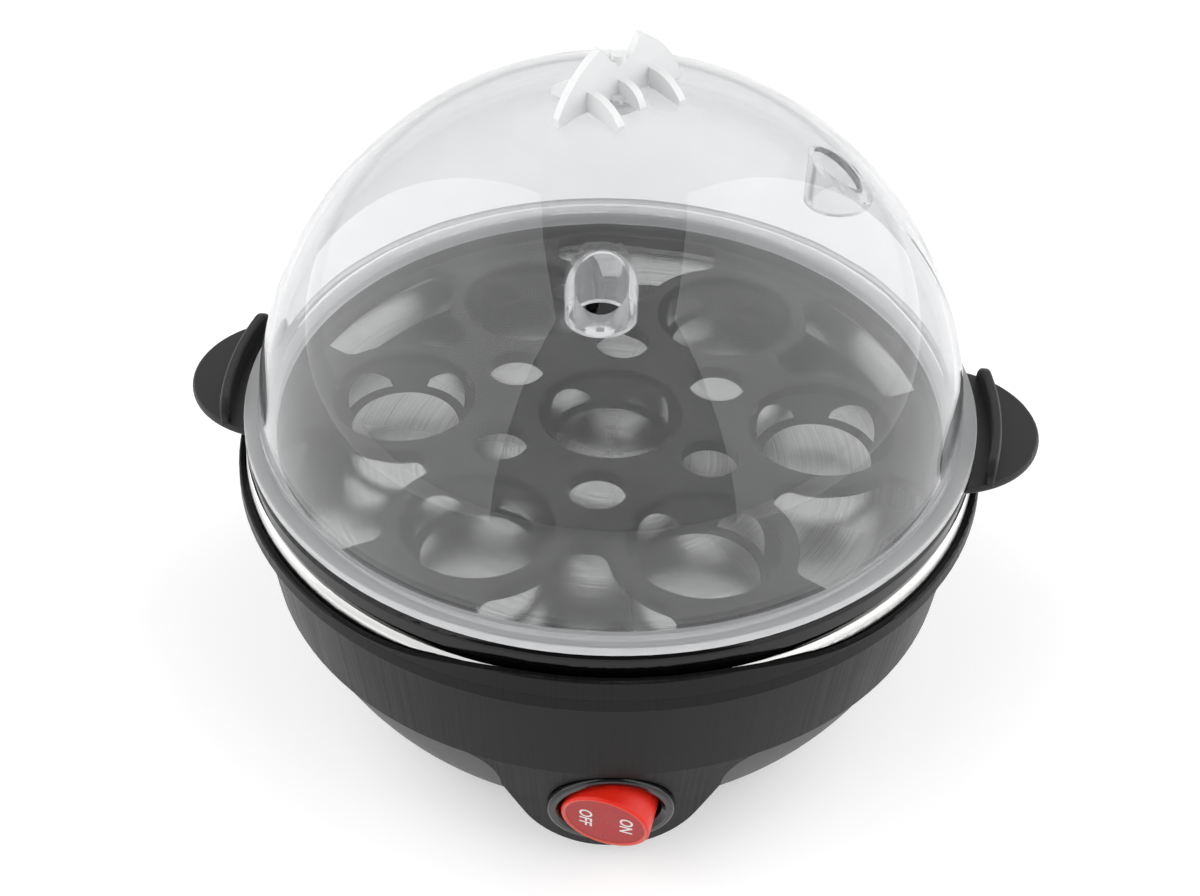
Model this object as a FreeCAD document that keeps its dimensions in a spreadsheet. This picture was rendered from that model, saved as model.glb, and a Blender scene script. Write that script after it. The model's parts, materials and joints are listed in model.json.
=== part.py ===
import FreeCAD, Part
import math
import os
import Sketcher
from FreeCAD import Placement, Rotation, Vector

# Electric egg cooker: a round base with a steel heating pan, a lift-out tray for
# seven eggs with two ears, a clear domed lid and a round rocker switch on a chin
# at the front. Millimetres, +Z up, front towards -Y, origin on the table under
# the middle of the base.

doc = FreeCAD.newDocument("egg_cooker")

SIZES = (
    # Upper housing
    ("seam_radius", 79.3),
    ("seam_height", 36.5),
    ("wall_flare", 3.1),
    ("shoulder_height", 60.5),
    ("rim_overhang", 2.6),
    ("rim_height", 62.1),
    ("band_step", 0.2),
    ("band_top", 65.3),
    ("band_wall", 1.3),
    ("band_round", 0.5),
    ("housing_wall", 2.2),
    ("ledge_height", 62.4),
    ("ledge_width", 3.5),
    ("brow_top", 70.2),
    ("brow_flat", 16.5),
    ("brow_foot", 58.0),
    # Chin that carries the switch
    ("chin_tilt", 12.6),
    ("chin_half", 23.5),
    ("chin_side_height", 27.0),
    ("chin_bottom", 4.7),
    ("chin_round", 20.5),
    ("chin_flare", 10.0),
    ("chin_taper", 25.2),
    ("chin_front_wall", 3.2),
    ("chin_side_wall", 2.2),
    ("spotface_depth", 1.3),
    # Base cover
    ("floor_height", 2.5),
    ("floor_inset", 19.5),
    ("cover_step", 1.8),
    ("cover_curve", 75.0),
    ("cover_wall", 2.2),
    ("cover_edge_round", 3.0),
    ("spigot_height", 3.0),
    ("spigot_wall", 1.6),
    ("shell_gap", 0.3),
    # Screws that close the base, and their posts
    ("post_inset", 9.5),
    ("post_radius", 4.4),
    ("post_top", 28.0),
    ("post_seat", 22.5),
    ("post_gap", 0.2),
    ("boss_radius", 3.8),
    ("boss_top", 50.0),
    ("web_width", 2.0),
    ("web_bottom", 40.5),
    ("screw_radius", 1.5),
    ("screw_head_radius", 3.3),
    ("screw_head_height", 2.2),
    ("screw_head_edge", 0.8),
    ("base_screw_length", 19.0),
    ("thread_gap", 0.05),
    ("screw_gap", 0.4),
    # Feet
    ("foot_radius", 6.5),
    ("foot_inset", 10.0),
    ("foot_recess", 1.0),
    ("foot_round", 0.8),
    # Cord gland
    ("gland_height", 20.0),
    ("gland_inset", 2.0),
    ("gland_boss_radius", 9.0),
    ("gland_boss_length", 9.5),
    ("gland_neck_radius", 5.6),
    ("gland_flange_radius", 8.0),
    ("gland_flange_width", 2.0),
    ("gland_bore_radius", 3.5),
    ("gland_length", 15.5),
    # Heating pan and its seal
    ("pan_sheet", 0.8),
    ("pan_floor", 57.0),
    ("pan_taper", 6.3),
    ("pan_wall_height", 63.0),
    ("pan_gap", 0.4),
    ("bead_radius", 2.4),
    ("seat_gap", 0.3),
    ("seal_height", 1.0),
    ("seal_width", 2.9),
    # Heat plate, element, bridge
    ("plate_radius", 45.0),
    ("plate_height", 3.0),
    ("plate_pad_radius", 3.0),
    ("plate_pilot_depth", 2.2),
    ("element_circle", 34.0),
    ("element_radius", 3.3),
    ("element_gap", 70.0),
    ("element_bend", 7.0),
    ("element_leg_end", 41.0),
    ("pin_radius", 1.2),
    ("pin_length", 5.0),
    ("stud_radius", 2.5),
    ("stud_end", 38.5),
    ("bridge_inset", 5.1),
    ("bridge_end", 4.0),
    ("bridge_width", 14.0),
    ("bridge_sheet", 1.5),
    ("bridge_gap", 0.4),
    ("bridge_boss_radius", 4.2),
    ("bridge_boss_top", 54.0),
    ("bridge_screw_length", 8.0),
    ("nut_flats", 8.0),
    ("nut_height", 4.0),
    # Thermostat and thermal fuse
    ("thermostat_offset", 17.0),
    ("thermostat_radius", 8.0),
    ("thermostat_height", 8.7),
    ("thermostat_ear", 12.0),
    ("thermostat_ear_end", 3.0),
    ("thermostat_ear_width", 7.0),
    ("thermostat_plate", 1.0),
    ("thermostat_pad", 2.0),
    ("thermostat_screw_length", 5.0),
    ("blade_offset", 4.0),
    ("blade_width", 6.3),
    ("blade_sheet", 0.8),
    ("blade_length", 7.0),
    ("fuse_offset", 17.0),
    ("fuse_radius", 2.0),
    ("fuse_gap", 0.3),
    ("fuse_length", 11.0),
    ("fuse_lead_radius", 0.5),
    ("fuse_lead_length", 5.0),
    ("clip_sheet", 0.8),
    ("clip_gap", 0.1),
    ("clip_width", 6.0),
    ("clip_foot", 6.6),
    ("clip_foot_length", 8.0),
    ("clip_screw_length", 2.8),
    # Terminal block and leads
    ("block_x", 24.0),
    ("block_y", 36.0),
    ("block_lift", 1.3),
    ("block_length", 30.0),
    ("block_width", 12.0),
    ("block_height", 13.0),
    ("block_boss_radius", 3.0),
    ("block_seat", 3.0),
    ("block_screw_reach", 2.4),
    ("way_pitch", 10.0),
    ("way_floor", 2.9),
    ("way_width", 6.2),
    ("way_gap", 0.1),
    ("connector_inset", 0.5),
    ("lead_radius", 1.2),
    ("lead_bend", 5.0),
    # Switch
    ("switch_height", 21.7),
    ("bezel_radius", 13.7),
    ("bezel_height", 2.0),
    ("bezel_round", 0.8),
    ("switch_body_radius", 11.8),
    ("switch_depth", 12.0),
    ("switch_opening", 10.95),
    ("switch_cavity", 7.2),
    ("spotface_gap", 0.35),
    ("terminal_pitch", 5.5),
    ("terminal_sheet", 0.8),
    ("terminal_width", 4.8),
    ("terminal_length", 8.0),
    ("terminal_root", 1.95),
    ("lamp_radius", 1.5),
    ("lamp_length", 7.0),
    # Rocker
    ("rocker_radius", 9.9),
    ("rocker_swing", 32.0),
    ("rocker_round", 0.7),
    ("rocker_skirt", 3.0),
    ("dish_radius", 8.9),
    ("dish_depth", 0.25),
    ("pivot_height", -0.2),
    ("pivot_radius", 1.0),
    ("pivot_reach", 11.5),
    ("pivot_gap", 0.05),
    # Egg tray
    ("tray_turn", -6.7),
    ("tray_top", 70.6),
    ("tray_plate", 1.8),
    ("tray_wall", 1.2),
    ("tray_gap", 1.35),
    ("tray_draft", 0.45),
    ("tray_rim_top", 75.15),
    ("tray_rim_width", 3.1),
    ("tray_rim_slope", 1.5),
    ("tray_rim_round", 1.6),
    ("tray_skirt_bottom", 68.8),
    ("rib_gap", 1.1),
    ("rib_wall", 1.8),
    ("rib_bottom", 66.6),
    ("opening_round", 0.6),
    ("cup_pitch", 48.2),
    ("cup_radius", 16.5),
    ("cup_wall", 1.5),
    ("cup_round", 0.6),
    ("cup_band", 3.0),
    ("cup_bottom", 61.5),
    ("cup_bottom_radius", 12.6),
    ("cup_ring", 0.8),
    ("window_turn", 45.0),
    ("window_half", 7.0),
    ("window_side", 1.4),
    ("window_arch", 3.6),
    ("vent_pitch", 27.4),
    ("vent_radius", 6.5),
    ("vent_wall", 1.1),
    ("turned_depth", 3.4),
    ("bell_apex", 45.0),
    ("bell_flank", 20.3),
    ("bell_half", 20.2),
    ("bell_margin", 1.2),
    ("bell_wall", 1.6),
    ("bell_apex_round", 3.4),
    ("bell_lobe_round", 3.2),
    ("bell_corner_round", 1.5),
    ("ear_radius", 22.07),
    ("ear_overlap", 7.8),
    ("ear_top", 74.0),
    ("ear_height", 1.8),
    ("ear_round", 0.7),
    ("fin_gap", 3.1),
    ("fin_wall", 2.2),
    ("fin_top", 78.5),
    ("fin_half", 19.5),
    ("fin_corner", 4.0),
    ("fin_round", 0.7),
    # Lid
    ("lid_turn", -4.4),
    ("lid_gap", 0.2),
    ("flange_inset", 0.1),
    ("flange_width", 3.0),
    ("flange_height", 2.25),
    ("flange_round", 0.5),
    ("dome_sink", 2.65),
    ("dome_wall", 1.8),
    ("lid_skirt_gap", 0.6),
    ("lid_skirt_wall", 1.5),
    ("lid_skirt_depth", 2.4),
    ("tube_pitch", 45.8),
    ("tube_radius", 6.9),
    ("tube_top_bore", 5.5),
    ("tube_end_bore", 5.0),
    ("tube_drop", 0.3),
    # Lid handle
    ("handle_turn", 45.0),
    ("handle_sink", 1.84),
    ("handle_gap", 0.05),
    ("handle_half", 16.4),
    ("handle_plate", 1.8),
    ("handle_foot", 2.0),
    ("horn_height", 13.4),
    ("horn_outer", 6.5),
    ("horn_inner", 4.4),
    ("horn_round", 1.25),
    ("horn_step", 0.3),
    ("handle_curve", 24.0),
    ("dip_half", 3.0),
    ("dip_height", 10.6),
    ("dip_curve", 4.6),
    ("nub_radius", 1.5),
    ("nub_height", 10.9),
    ("cross_offset", 8.2),
    ("cross_half", 10.3),
    ("cross_middle_half", 7.6),
    ("cross_height", 5.8),
    ("cross_tip", 2.0),
    ("cross_flat", 2.5),
    ("cross_plate", 1.7),
    ("stub_radius", 2.8),
    ("stub_head_radius", 4.2),
    ("stub_head_height", 1.4),
)

sheet = doc.addObject("Spreadsheet::Sheet", "Size")
for row, (alias, amount) in enumerate(SIZES, start=1):
    sheet.set(f"A{row}", alias.replace("_", " "))
    sheet.set(f"B{row}", str(amount))
    sheet.setAlias(f"B{row}", alias)
doc.recompute()

ORIGIN = (-1, 1)
SIDEWAYS_AXIS = -1
UPRIGHT_AXIS = -2
CCW = True
CW = False


def number(formula):
    """The value that a formula of sheet sizes has now."""
    return float(sheet.evalExpression(formula))


def bind(thing, prop, formula):
    """Ties a property to a formula of sheet sizes."""
    thing.setExpression(prop, formula)


def place(thing, x="0", y="0", z="0", axis=Vector(0, 0, 1), angle="0"):
    """Puts an object at a place and turn that follow the sheet."""
    thing.Placement = Placement(Vector(0, 0, 0), Rotation(axis, 1))
    bind(thing, "Placement.Base.x", x)
    bind(thing, "Placement.Base.y", y)
    bind(thing, "Placement.Base.z", z)
    bind(thing, "Placement.Rotation.Angle", angle)
    return thing


def new_body(name):
    body = doc.addObject("PartDesign::Body", name)
    body.Label = name
    return body


def new_sketch(body, role, name="Profile"):
    """A sketch on one of the body's own origin planes."""
    sketch = body.newObject("Sketcher::SketchObject", body.Name + "_" + name)
    planes = [f for f in body.Origin.OriginFeatures if f.Role == role]
    sketch.AttachmentSupport = [(planes[0], "")]
    sketch.MapMode = "FlatFace"
    return sketch


def minor_arc(start, end, radius, turn):
    """The short arc between two points, which turns left (CCW) or right (CW)."""
    chord = end - start
    reach = math.sqrt(max(radius ** 2 - (chord.Length / 2) ** 2, 0))
    left = Vector(-chord.y, chord.x, 0).normalize()
    centre = (start + end) * 0.5 + left * (reach if turn == CCW else -reach)
    first, last = (start, end) if turn == CCW else (end, start)
    a = math.atan2(first.y - centre.y, first.x - centre.x)
    b = math.atan2(last.y - centre.y, last.x - centre.x)
    if b < a:
        b += 2 * math.pi
    return Part.ArcOfCircle(Part.Circle(centre, Vector(0, 0, 1), radius), a, b)


def fix(sketch, kind, axis, geometry, end, formula):
    """Holds a corner at a distance from the origin that follows the sheet."""
    if formula == "0":
        rule = Sketcher.Constraint("PointOnObject", geometry, end, axis)
        sketch.addConstraint(rule)
        return
    rule = Sketcher.Constraint(kind, *ORIGIN, geometry, end, number(formula))
    index = sketch.addConstraint(rule)
    bind(sketch, f"Constraints[{index}]", formula)


def draw(sketch, corners):
    """Draws a closed outline. A corner is (x, y), or (x, y, radius, turn) where
    an arc leads on to the next corner."""
    spots = [Vector(number(c[0]), number(c[1]), 0) for c in corners]
    first = sketch.GeometryCount
    ends = []
    for i, corner in enumerate(corners):
        start, end = spots[i], spots[(i + 1) % len(spots)]
        if len(corner) == 2:
            sketch.addGeometry(Part.LineSegment(start, end), False)
            ends.append((1, 2))
        else:
            arc = minor_arc(start, end, number(corner[2]), corner[3])
            sketch.addGeometry(arc, False)
            ends.append((1, 2) if corner[3] == CCW else (2, 1))
    for i, corner in enumerate(corners):
        after = (i + 1) % len(corners)
        join = (first + i, ends[i][1], first + after, ends[after][0])
        sketch.addConstraint(Sketcher.Constraint("Coincident", *join))
    for i, corner in enumerate(corners):
        fix(sketch, "DistanceX", UPRIGHT_AXIS, first + i, ends[i][0], corner[0])
        fix(sketch, "DistanceY", SIDEWAYS_AXIS, first + i, ends[i][0], corner[1])
        if len(corner) == 4:
            rule = Sketcher.Constraint("Radius", first + i, number(corner[2]))
            index = sketch.addConstraint(rule)
            bind(sketch, f"Constraints[{index}]", corner[2])


def draw_circle(sketch, x, y, radius):
    """Draws a circle whose centre and radius follow the sheet."""
    centre = Vector(number(x), number(y), 0)
    circle = Part.Circle(centre, Vector(0, 0, 1), number(radius))
    index = sketch.addGeometry(circle, False)
    fix(sketch, "DistanceX", UPRIGHT_AXIS, index, 3, x)
    fix(sketch, "DistanceY", SIDEWAYS_AXIS, index, 3, y)
    rule = Sketcher.Constraint("Radius", index, number(radius))
    bind(sketch, f"Constraints[{sketch.addConstraint(rule)}]", radius)


def turned(name, corners, sweep="360"):
    """A body turned about Z from an outline of radius and height."""
    body = new_body(name)
    sketch = new_sketch(body, "XZ_Plane")
    draw(sketch, corners)
    turn = body.newObject("PartDesign::Revolution", name + "_turn")
    turn.Profile = sketch
    turn.ReferenceAxis = (sketch, ["V_Axis"])
    turn.Midplane = sweep != "360"
    bind(turn, "Angle", sweep)
    return body


def pad(body, sketch, length, midplane=False, reverse=False):
    """Adds a pad of the sketch to its body."""
    feature = body.newObject("PartDesign::Pad", sketch.Name + "_pad")
    feature.Profile = sketch
    feature.Midplane = midplane
    feature.Reversed = reverse
    bind(feature, "Length", length)
    return feature


def padded(name, role, corners, length, midplane=False, reverse=False):
    """A body padded from a closed outline on one of its origin planes."""
    body = new_body(name)
    sketch = new_sketch(body, role)
    draw(sketch, corners)
    pad(body, sketch, length, midplane, reverse)
    return body


def disc(name, radius, bottom, top, x="0", y="0"):
    """A round post or disc on an upright axis."""
    body = new_body(name)
    sketch = new_sketch(body, "XY_Plane")
    draw_circle(sketch, "0", "0", radius)
    pad(body, sketch, f"({top}) - ({bottom})")
    return place(body, x, y, bottom)


def slab(name, length, width, bottom, top, x="0", y="0"):
    """A straight-sided block centred on a place, length along X."""
    body = new_body(name)
    sketch = new_sketch(body, "XY_Plane")
    half_x, half_y = f"({length}) / 2", f"({width}) / 2"
    draw(sketch, (
        ("-" + half_x, "-" + half_y),
        (half_x, "-" + half_y),
        (half_x, half_y),
        ("-" + half_x, half_y),
    ))
    pad(body, sketch, f"({top}) - ({bottom})")
    return place(body, x, y, bottom)


def fuse(name, *pieces):
    joined = doc.addObject("Part::MultiFuse", name)
    joined.Label = name
    joined.Shapes = list(pieces)
    joined.Refine = True
    return joined


def common(name, *pieces):
    shared = doc.addObject("Part::MultiCommon", name)
    shared.Label = name
    shared.Shapes = list(pieces)
    return shared


def cut(name, base, *tools):
    """The base without its tools."""
    tool = tools[0] if len(tools) == 1 else fuse(name + "_tools", *tools)
    rest = doc.addObject("Part::Cut", name)
    rest.Label = name
    rest.Base = base
    rest.Tool = tool
    rest.Refine = True
    return rest


def rename(thing, label):
    """Gives a finished piece the name of its node."""
    for other in doc.Objects:
        if other.Label == label and other is not thing:
            other.Label = label + "_base"
    thing.Label = label
    return thing


def ring_at(radius, height):
    """Picks the level circles of one radius at one height."""
    def picks(edge):
        if edge.Degenerated or not hasattr(edge.Curve, "Radius"):
            return False
        same_radius = abs(edge.Curve.Radius - number(radius)) < 0.02
        return same_radius and abs(edge.Curve.Center.z - number(height)) < 0.02
    return picks


def round_off(body, radius, *picks):
    """Rounds the edges of a body that any of the tests picks."""
    doc.recompute()
    tip = body.Tip
    edges = tip.Shape.Edges
    names = [f"Edge{i + 1}" for i, e in enumerate(edges) if any(p(e) for p in picks)]
    if not names:
        raise ValueError("no edge to round on " + body.Label)
    rounding = body.newObject("PartDesign::Fillet", tip.Name + "_round")
    rounding.Base = (tip, names)
    bind(rounding, "Radius", radius)
    return body


def around(count, start=0.0):
    """Evenly spaced angles in degrees."""
    return [start + 360.0 * i / count for i in range(count)]


def on_circle(radius, angle):
    """The x and y formulas of a place on a circle about Z."""
    return f"({radius}) * cos({angle})", f"({radius}) * sin({angle})"


def radius_of_wall(height, inward="0"):
    """The outer radius of the housing's straight wall at a height."""
    rise = f"(({height}) - Size.seam_height) / (Size.shoulder_height - Size.seam_height)"
    return f"(Size.seam_radius + {rise} * Size.wall_flare - ({inward}))"


def radius_of_chin(height, inward="0"):
    """The outer radius of the chin's front below the seam."""
    drop = f"(Size.seam_height - ({height}))"
    return f"(Size.seam_radius - {drop} * tan(Size.chin_tilt) - ({inward}))"


SHOULDER_RADIUS = "(Size.seam_radius + Size.wall_flare)"
RIM_RADIUS = f"({SHOULDER_RADIUS} + Size.rim_overhang)"
BAND_RADIUS = f"({RIM_RADIUS} - Size.band_step)"
BAND_INNER = f"({BAND_RADIUS} - Size.band_wall)"
LEDGE_RADIUS = f"({BAND_INNER} - Size.ledge_width)"
WALL_INNER = "(Size.seam_radius - Size.housing_wall)"
PAST_RIM = f"({RIM_RADIUS} + 5)"
COVER_RADIUS = "(Size.seam_radius - Size.cover_step)"
FLOOR_RADIUS = f"({COVER_RADIUS} - Size.floor_inset)"
POST_CIRCLE = f"({COVER_RADIUS} - Size.post_inset)"
FOOT_CIRCLE = f"({FLOOR_RADIUS} - Size.foot_inset)"
GLAND_FACE = f"({COVER_RADIUS} - Size.gland_inset)"
GLAND_END = f"({GLAND_FACE} - Size.gland_length)"
SWITCH_Y = f"(Size.spotface_depth * cos(Size.chin_tilt) - {radius_of_chin('Size.switch_height')})"
SWITCH_Z = "(Size.switch_height + Size.spotface_depth * sin(Size.chin_tilt))"
PAN_UNDER = "(Size.pan_floor - Size.pan_sheet)"
PAN_OUTER = f"({BAND_INNER} - Size.pan_gap)"
PAN_RADIUS = f"({PAN_OUTER} - 2 * Size.bead_radius)"
BEAD_HEIGHT = "(Size.tray_skirt_bottom - Size.seat_gap - Size.bead_radius)"
CURL_BOTTOM = "(Size.ledge_height + Size.seal_height)"
PLATE_UNDER = f"({PAN_UNDER} - Size.plate_height)"
BRIDGE_TOP = f"({PLATE_UNDER} - 2 * Size.element_radius - Size.bridge_gap)"
BRIDGE_UNDER = f"({BRIDGE_TOP} - Size.bridge_sheet)"
BRIDGE_CIRCLE = f"({WALL_INNER} - Size.bridge_inset)"
THERMOSTAT_PLATE_TOP = f"({PLATE_UNDER} - Size.thermostat_pad)"
FUSE_HEIGHT = f"({PLATE_UNDER} - Size.fuse_radius - Size.fuse_gap)"
CLIP_SCREW_Y = "(Size.fuse_offset - Size.clip_foot)"
BLOCK_BOTTOM = "(Size.floor_height + Size.cover_wall + Size.block_lift)"
BLOCK_SCREW = ("Size.block_x", "Size.block_y")
CONNECTOR_LENGTH = "(Size.block_width - 2 * Size.connector_inset)"
TRAY_SKIRT = f"({BAND_INNER} - Size.tray_gap)"
TRAY_RIM = f"({TRAY_SKIRT} + Size.tray_draft)"
TRAY_RIM_INNER = f"({TRAY_RIM} - Size.tray_rim_width)"
TRAY_PLATE = f"({TRAY_RIM_INNER} - Size.tray_rim_slope)"
TRAY_UNDER = "(Size.tray_top - Size.tray_plate)"
RIB_OUTER = f"({PAN_RADIUS} - Size.rib_gap)"
RIB_INNER = f"({RIB_OUTER} - Size.rib_wall)"
BELL_OUTER = f"({RIB_INNER} - Size.bell_margin)"
FIN_INNER = f"({TRAY_RIM} + Size.fin_gap)"
FIN_OUTER = f"({FIN_INNER} + Size.fin_wall)"
FLANGE_RADIUS = f"({TRAY_RIM} - Size.flange_inset)"
FLANGE_BOTTOM = "(Size.tray_rim_top + Size.lid_gap)"
FLANGE_TOP = f"({FLANGE_BOTTOM} + Size.flange_height)"
LID_SKIRT = f"({TRAY_PLATE} - Size.lid_skirt_gap)"
DOME_RADIUS = f"({FLANGE_RADIUS} - Size.flange_width)"
DOME_INSIDE = f"({DOME_RADIUS} - Size.dome_wall)"
DOME_CENTRE = f"({FLANGE_BOTTOM} - Size.dome_sink)"
DOME_TOP = f"({DOME_CENTRE} + {DOME_RADIUS})"
HANDLE_BASE = f"({DOME_TOP} - Size.handle_sink)"


def in_switch(thing):
    """Moves a piece drawn about the switch's own axis into the chin."""
    return place(thing, "0", SWITCH_Y, SWITCH_Z, Vector(1, 0, 0), "90 + Size.chin_tilt")


def chin_outline(inset):
    """The front view of the chin, smaller by an inset, up to just over the seam."""
    half = f"(Size.chin_half - ({inset}))"
    curve = f"(Size.chin_round - ({inset}))"
    tip_x = f"{curve} * cos(Size.chin_taper)"
    middle = "(Size.chin_bottom + Size.chin_round)"
    tip_z = f"{middle} - {curve} * sin(Size.chin_taper)"
    flare = f"(Size.chin_flare + ({inset}))"
    rise = "(Size.seam_height - Size.chin_side_height)"
    seam_x = f"({half} + {flare} - sqrt(pow({flare}; 2) - pow({rise}; 2)))"
    top = "(Size.seam_height + 1)"
    return (
        ("0", f"Size.chin_bottom + ({inset})", curve, CCW),
        (tip_x, tip_z),
        (half, "Size.chin_side_height", flare, CW),
        (seam_x, "Size.seam_height"),
        (seam_x, top),
        ("-" + seam_x, top),
        ("-" + seam_x, "Size.seam_height", flare, CW),
        ("-" + half, "Size.chin_side_height"),
        ("-" + tip_x, tip_z, curve, CCW),
    )


def cover_form(name, outward):
    """The space inside the base cover's curved outside, grown by a gap."""
    return turned(name, (
        ("0", f"Size.floor_height - ({outward})"),
        (f"{FLOOR_RADIUS} + ({outward})", f"Size.floor_height - ({outward})",
         f"Size.cover_curve + ({outward})", CCW),
        (f"{COVER_RADIUS} + ({outward})", "Size.seam_height"),
        ("0", "Size.seam_height"),
    ))


def make_upper_housing():
    shell = turned("housing_shell", (
        ("Size.seam_radius", "Size.seam_height"),
        (SHOULDER_RADIUS, "Size.shoulder_height"),
        (RIM_RADIUS, "Size.rim_height"),
        (BAND_RADIUS, "Size.band_top"),
        (BAND_INNER, "Size.band_top"),
        (BAND_INNER, "Size.ledge_height"),
        (LEDGE_RADIUS, "Size.ledge_height"),
        (LEDGE_RADIUS, "Size.ledge_height - Size.housing_wall"),
        (WALL_INNER, "Size.seam_height"),
    ))
    round_off(shell, "Size.band_round", ring_at(BAND_RADIUS, "Size.band_top"))
    band = turned("brow_band", (
        (BAND_INNER, "Size.ledge_height"),
        (BAND_RADIUS, "Size.rim_height"),
        (BAND_RADIUS, "Size.brow_top"),
        (BAND_INNER, "Size.brow_top"),
    ))
    round_off(band, "Size.band_round", ring_at(BAND_RADIUS, "Size.brow_top"))
    rise = "(Size.brow_top - Size.band_top)"
    run = "(Size.brow_foot - Size.brow_flat)"
    curve = f"(pow({run}; 2) + pow({rise}; 2)) / (4 * {rise})"
    middle_x = "(Size.brow_foot + Size.brow_flat) / 2"
    middle_z = "(Size.brow_top + Size.band_top) / 2"
    front = padded("brow_front", "XZ_Plane", (
        ("Size.brow_foot", "Size.rim_height"),
        ("Size.brow_foot", "Size.band_top", curve, CW),
        (middle_x, middle_z, curve, CCW),
        ("Size.brow_flat", "Size.brow_top"),
        ("-Size.brow_flat", "Size.brow_top", curve, CCW),
        ("-" + middle_x, middle_z, curve, CW),
        ("-Size.brow_foot", "Size.band_top"),
        ("-Size.brow_foot", "Size.rim_height"),
    ), PAST_RIM)
    brow = common("brow", band, front)

    outer = turned("chin_form", (
        ("0", "0"),
        (radius_of_chin("0"), "0"),
        ("Size.seam_radius", "Size.seam_height"),
        (radius_of_wall("Size.seam_height + 1"), "Size.seam_height + 1"),
        ("0", "Size.seam_height + 1"),
    ))
    block = padded("chin_block", "XZ_Plane", chin_outline("0"), PAST_RIM)
    hollow_form = turned("chin_hollow_form", (
        ("0", "0"),
        (radius_of_chin("0", "Size.chin_front_wall"), "0"),
        (radius_of_chin("Size.seam_height", "Size.chin_front_wall"), "Size.seam_height"),
        ("0", "Size.seam_height"),
    ))
    hollow_block = padded("chin_hollow_block", "XZ_Plane", chin_outline("Size.chin_side_wall"),
                          PAST_RIM)
    hollow = common("chin_hollow", hollow_form, hollow_block)
    inside = cover_form("chin_inside", "Size.shell_gap")
    throat = disc("chin_throat", WALL_INNER, "Size.seam_height", "Size.seam_height + 1")
    chin = cut("chin", common("chin_solid", outer, block), hollow, inside, throat)

    pieces = [shell, brow, chin]
    holes = []
    for i, angle in enumerate(around(4, 45)):
        x, y = on_circle(POST_CIRCLE, angle)
        foot = "Size.post_top + Size.post_gap"
        pieces.append(disc(f"cover_boss_{i}", "Size.boss_radius", foot, "Size.boss_top", x, y))
        pieces.append(web(f"cover_web_{i}", POST_CIRCLE, "Size.web_bottom",
                          "Size.boss_top", angle))
        holes.append(disc(f"cover_pilot_{i}", "Size.screw_radius + Size.thread_gap", foot,
                          "Size.post_seat + Size.base_screw_length + 1", x, y))
    for i, angle in enumerate(around(2)):
        x, y = on_circle(BRIDGE_CIRCLE, angle)
        top = "Size.bridge_boss_top"
        pieces.append(disc(f"bridge_boss_{i}", "Size.bridge_boss_radius", BRIDGE_TOP, top, x, y))
        pieces.append(web(f"bridge_web_{i}", BRIDGE_CIRCLE, BRIDGE_TOP, top, angle))
        holes.append(disc(f"bridge_pilot_{i}", "Size.screw_radius + Size.thread_gap", BRIDGE_TOP,
                          f"{BRIDGE_UNDER} + Size.bridge_screw_length + 0.5", x, y))
    spot = in_switch_disc("spotface", "Size.bezel_radius + Size.spotface_gap", "0",
                          "Size.bezel_radius")
    hole = in_switch_disc("switch_hole", "Size.switch_body_radius + Size.shell_gap",
                          "-Size.switch_depth - 4", "1")
    whole = cut("housing_whole", fuse("housing_joined", *pieces), spot, hole, *holes)
    return rename(whole, "upper_housing")


def web(name, start, bottom, top, angle):
    """An upright rib from a boss into the housing's wall, at an angle about Z."""
    body = new_body(name)
    sketch = new_sketch(body, "XZ_Plane")
    inward = "Size.housing_wall / 2"
    draw(sketch, (
        (start, bottom),
        (radius_of_wall(bottom, inward), bottom),
        (radius_of_wall(top, inward), top),
        (start, top),
    ))
    pad(body, sketch, "Size.web_width", midplane=True)
    return place(body, angle=str(angle))


def in_switch_disc(name, radius, back, front):
    """A round tool on the switch's axis, between two depths measured outwards."""
    body = new_body(name)
    sketch = new_sketch(body, "XY_Plane")
    draw_circle(sketch, "0", "0", radius)
    pad(body, sketch, f"({front}) - ({back})")
    y = f"{SWITCH_Y} - ({back}) * cos(Size.chin_tilt)"
    z = f"{SWITCH_Z} - ({back}) * sin(Size.chin_tilt)"
    return place(body, "0", y, z, Vector(1, 0, 0), "90 + Size.chin_tilt")


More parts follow.
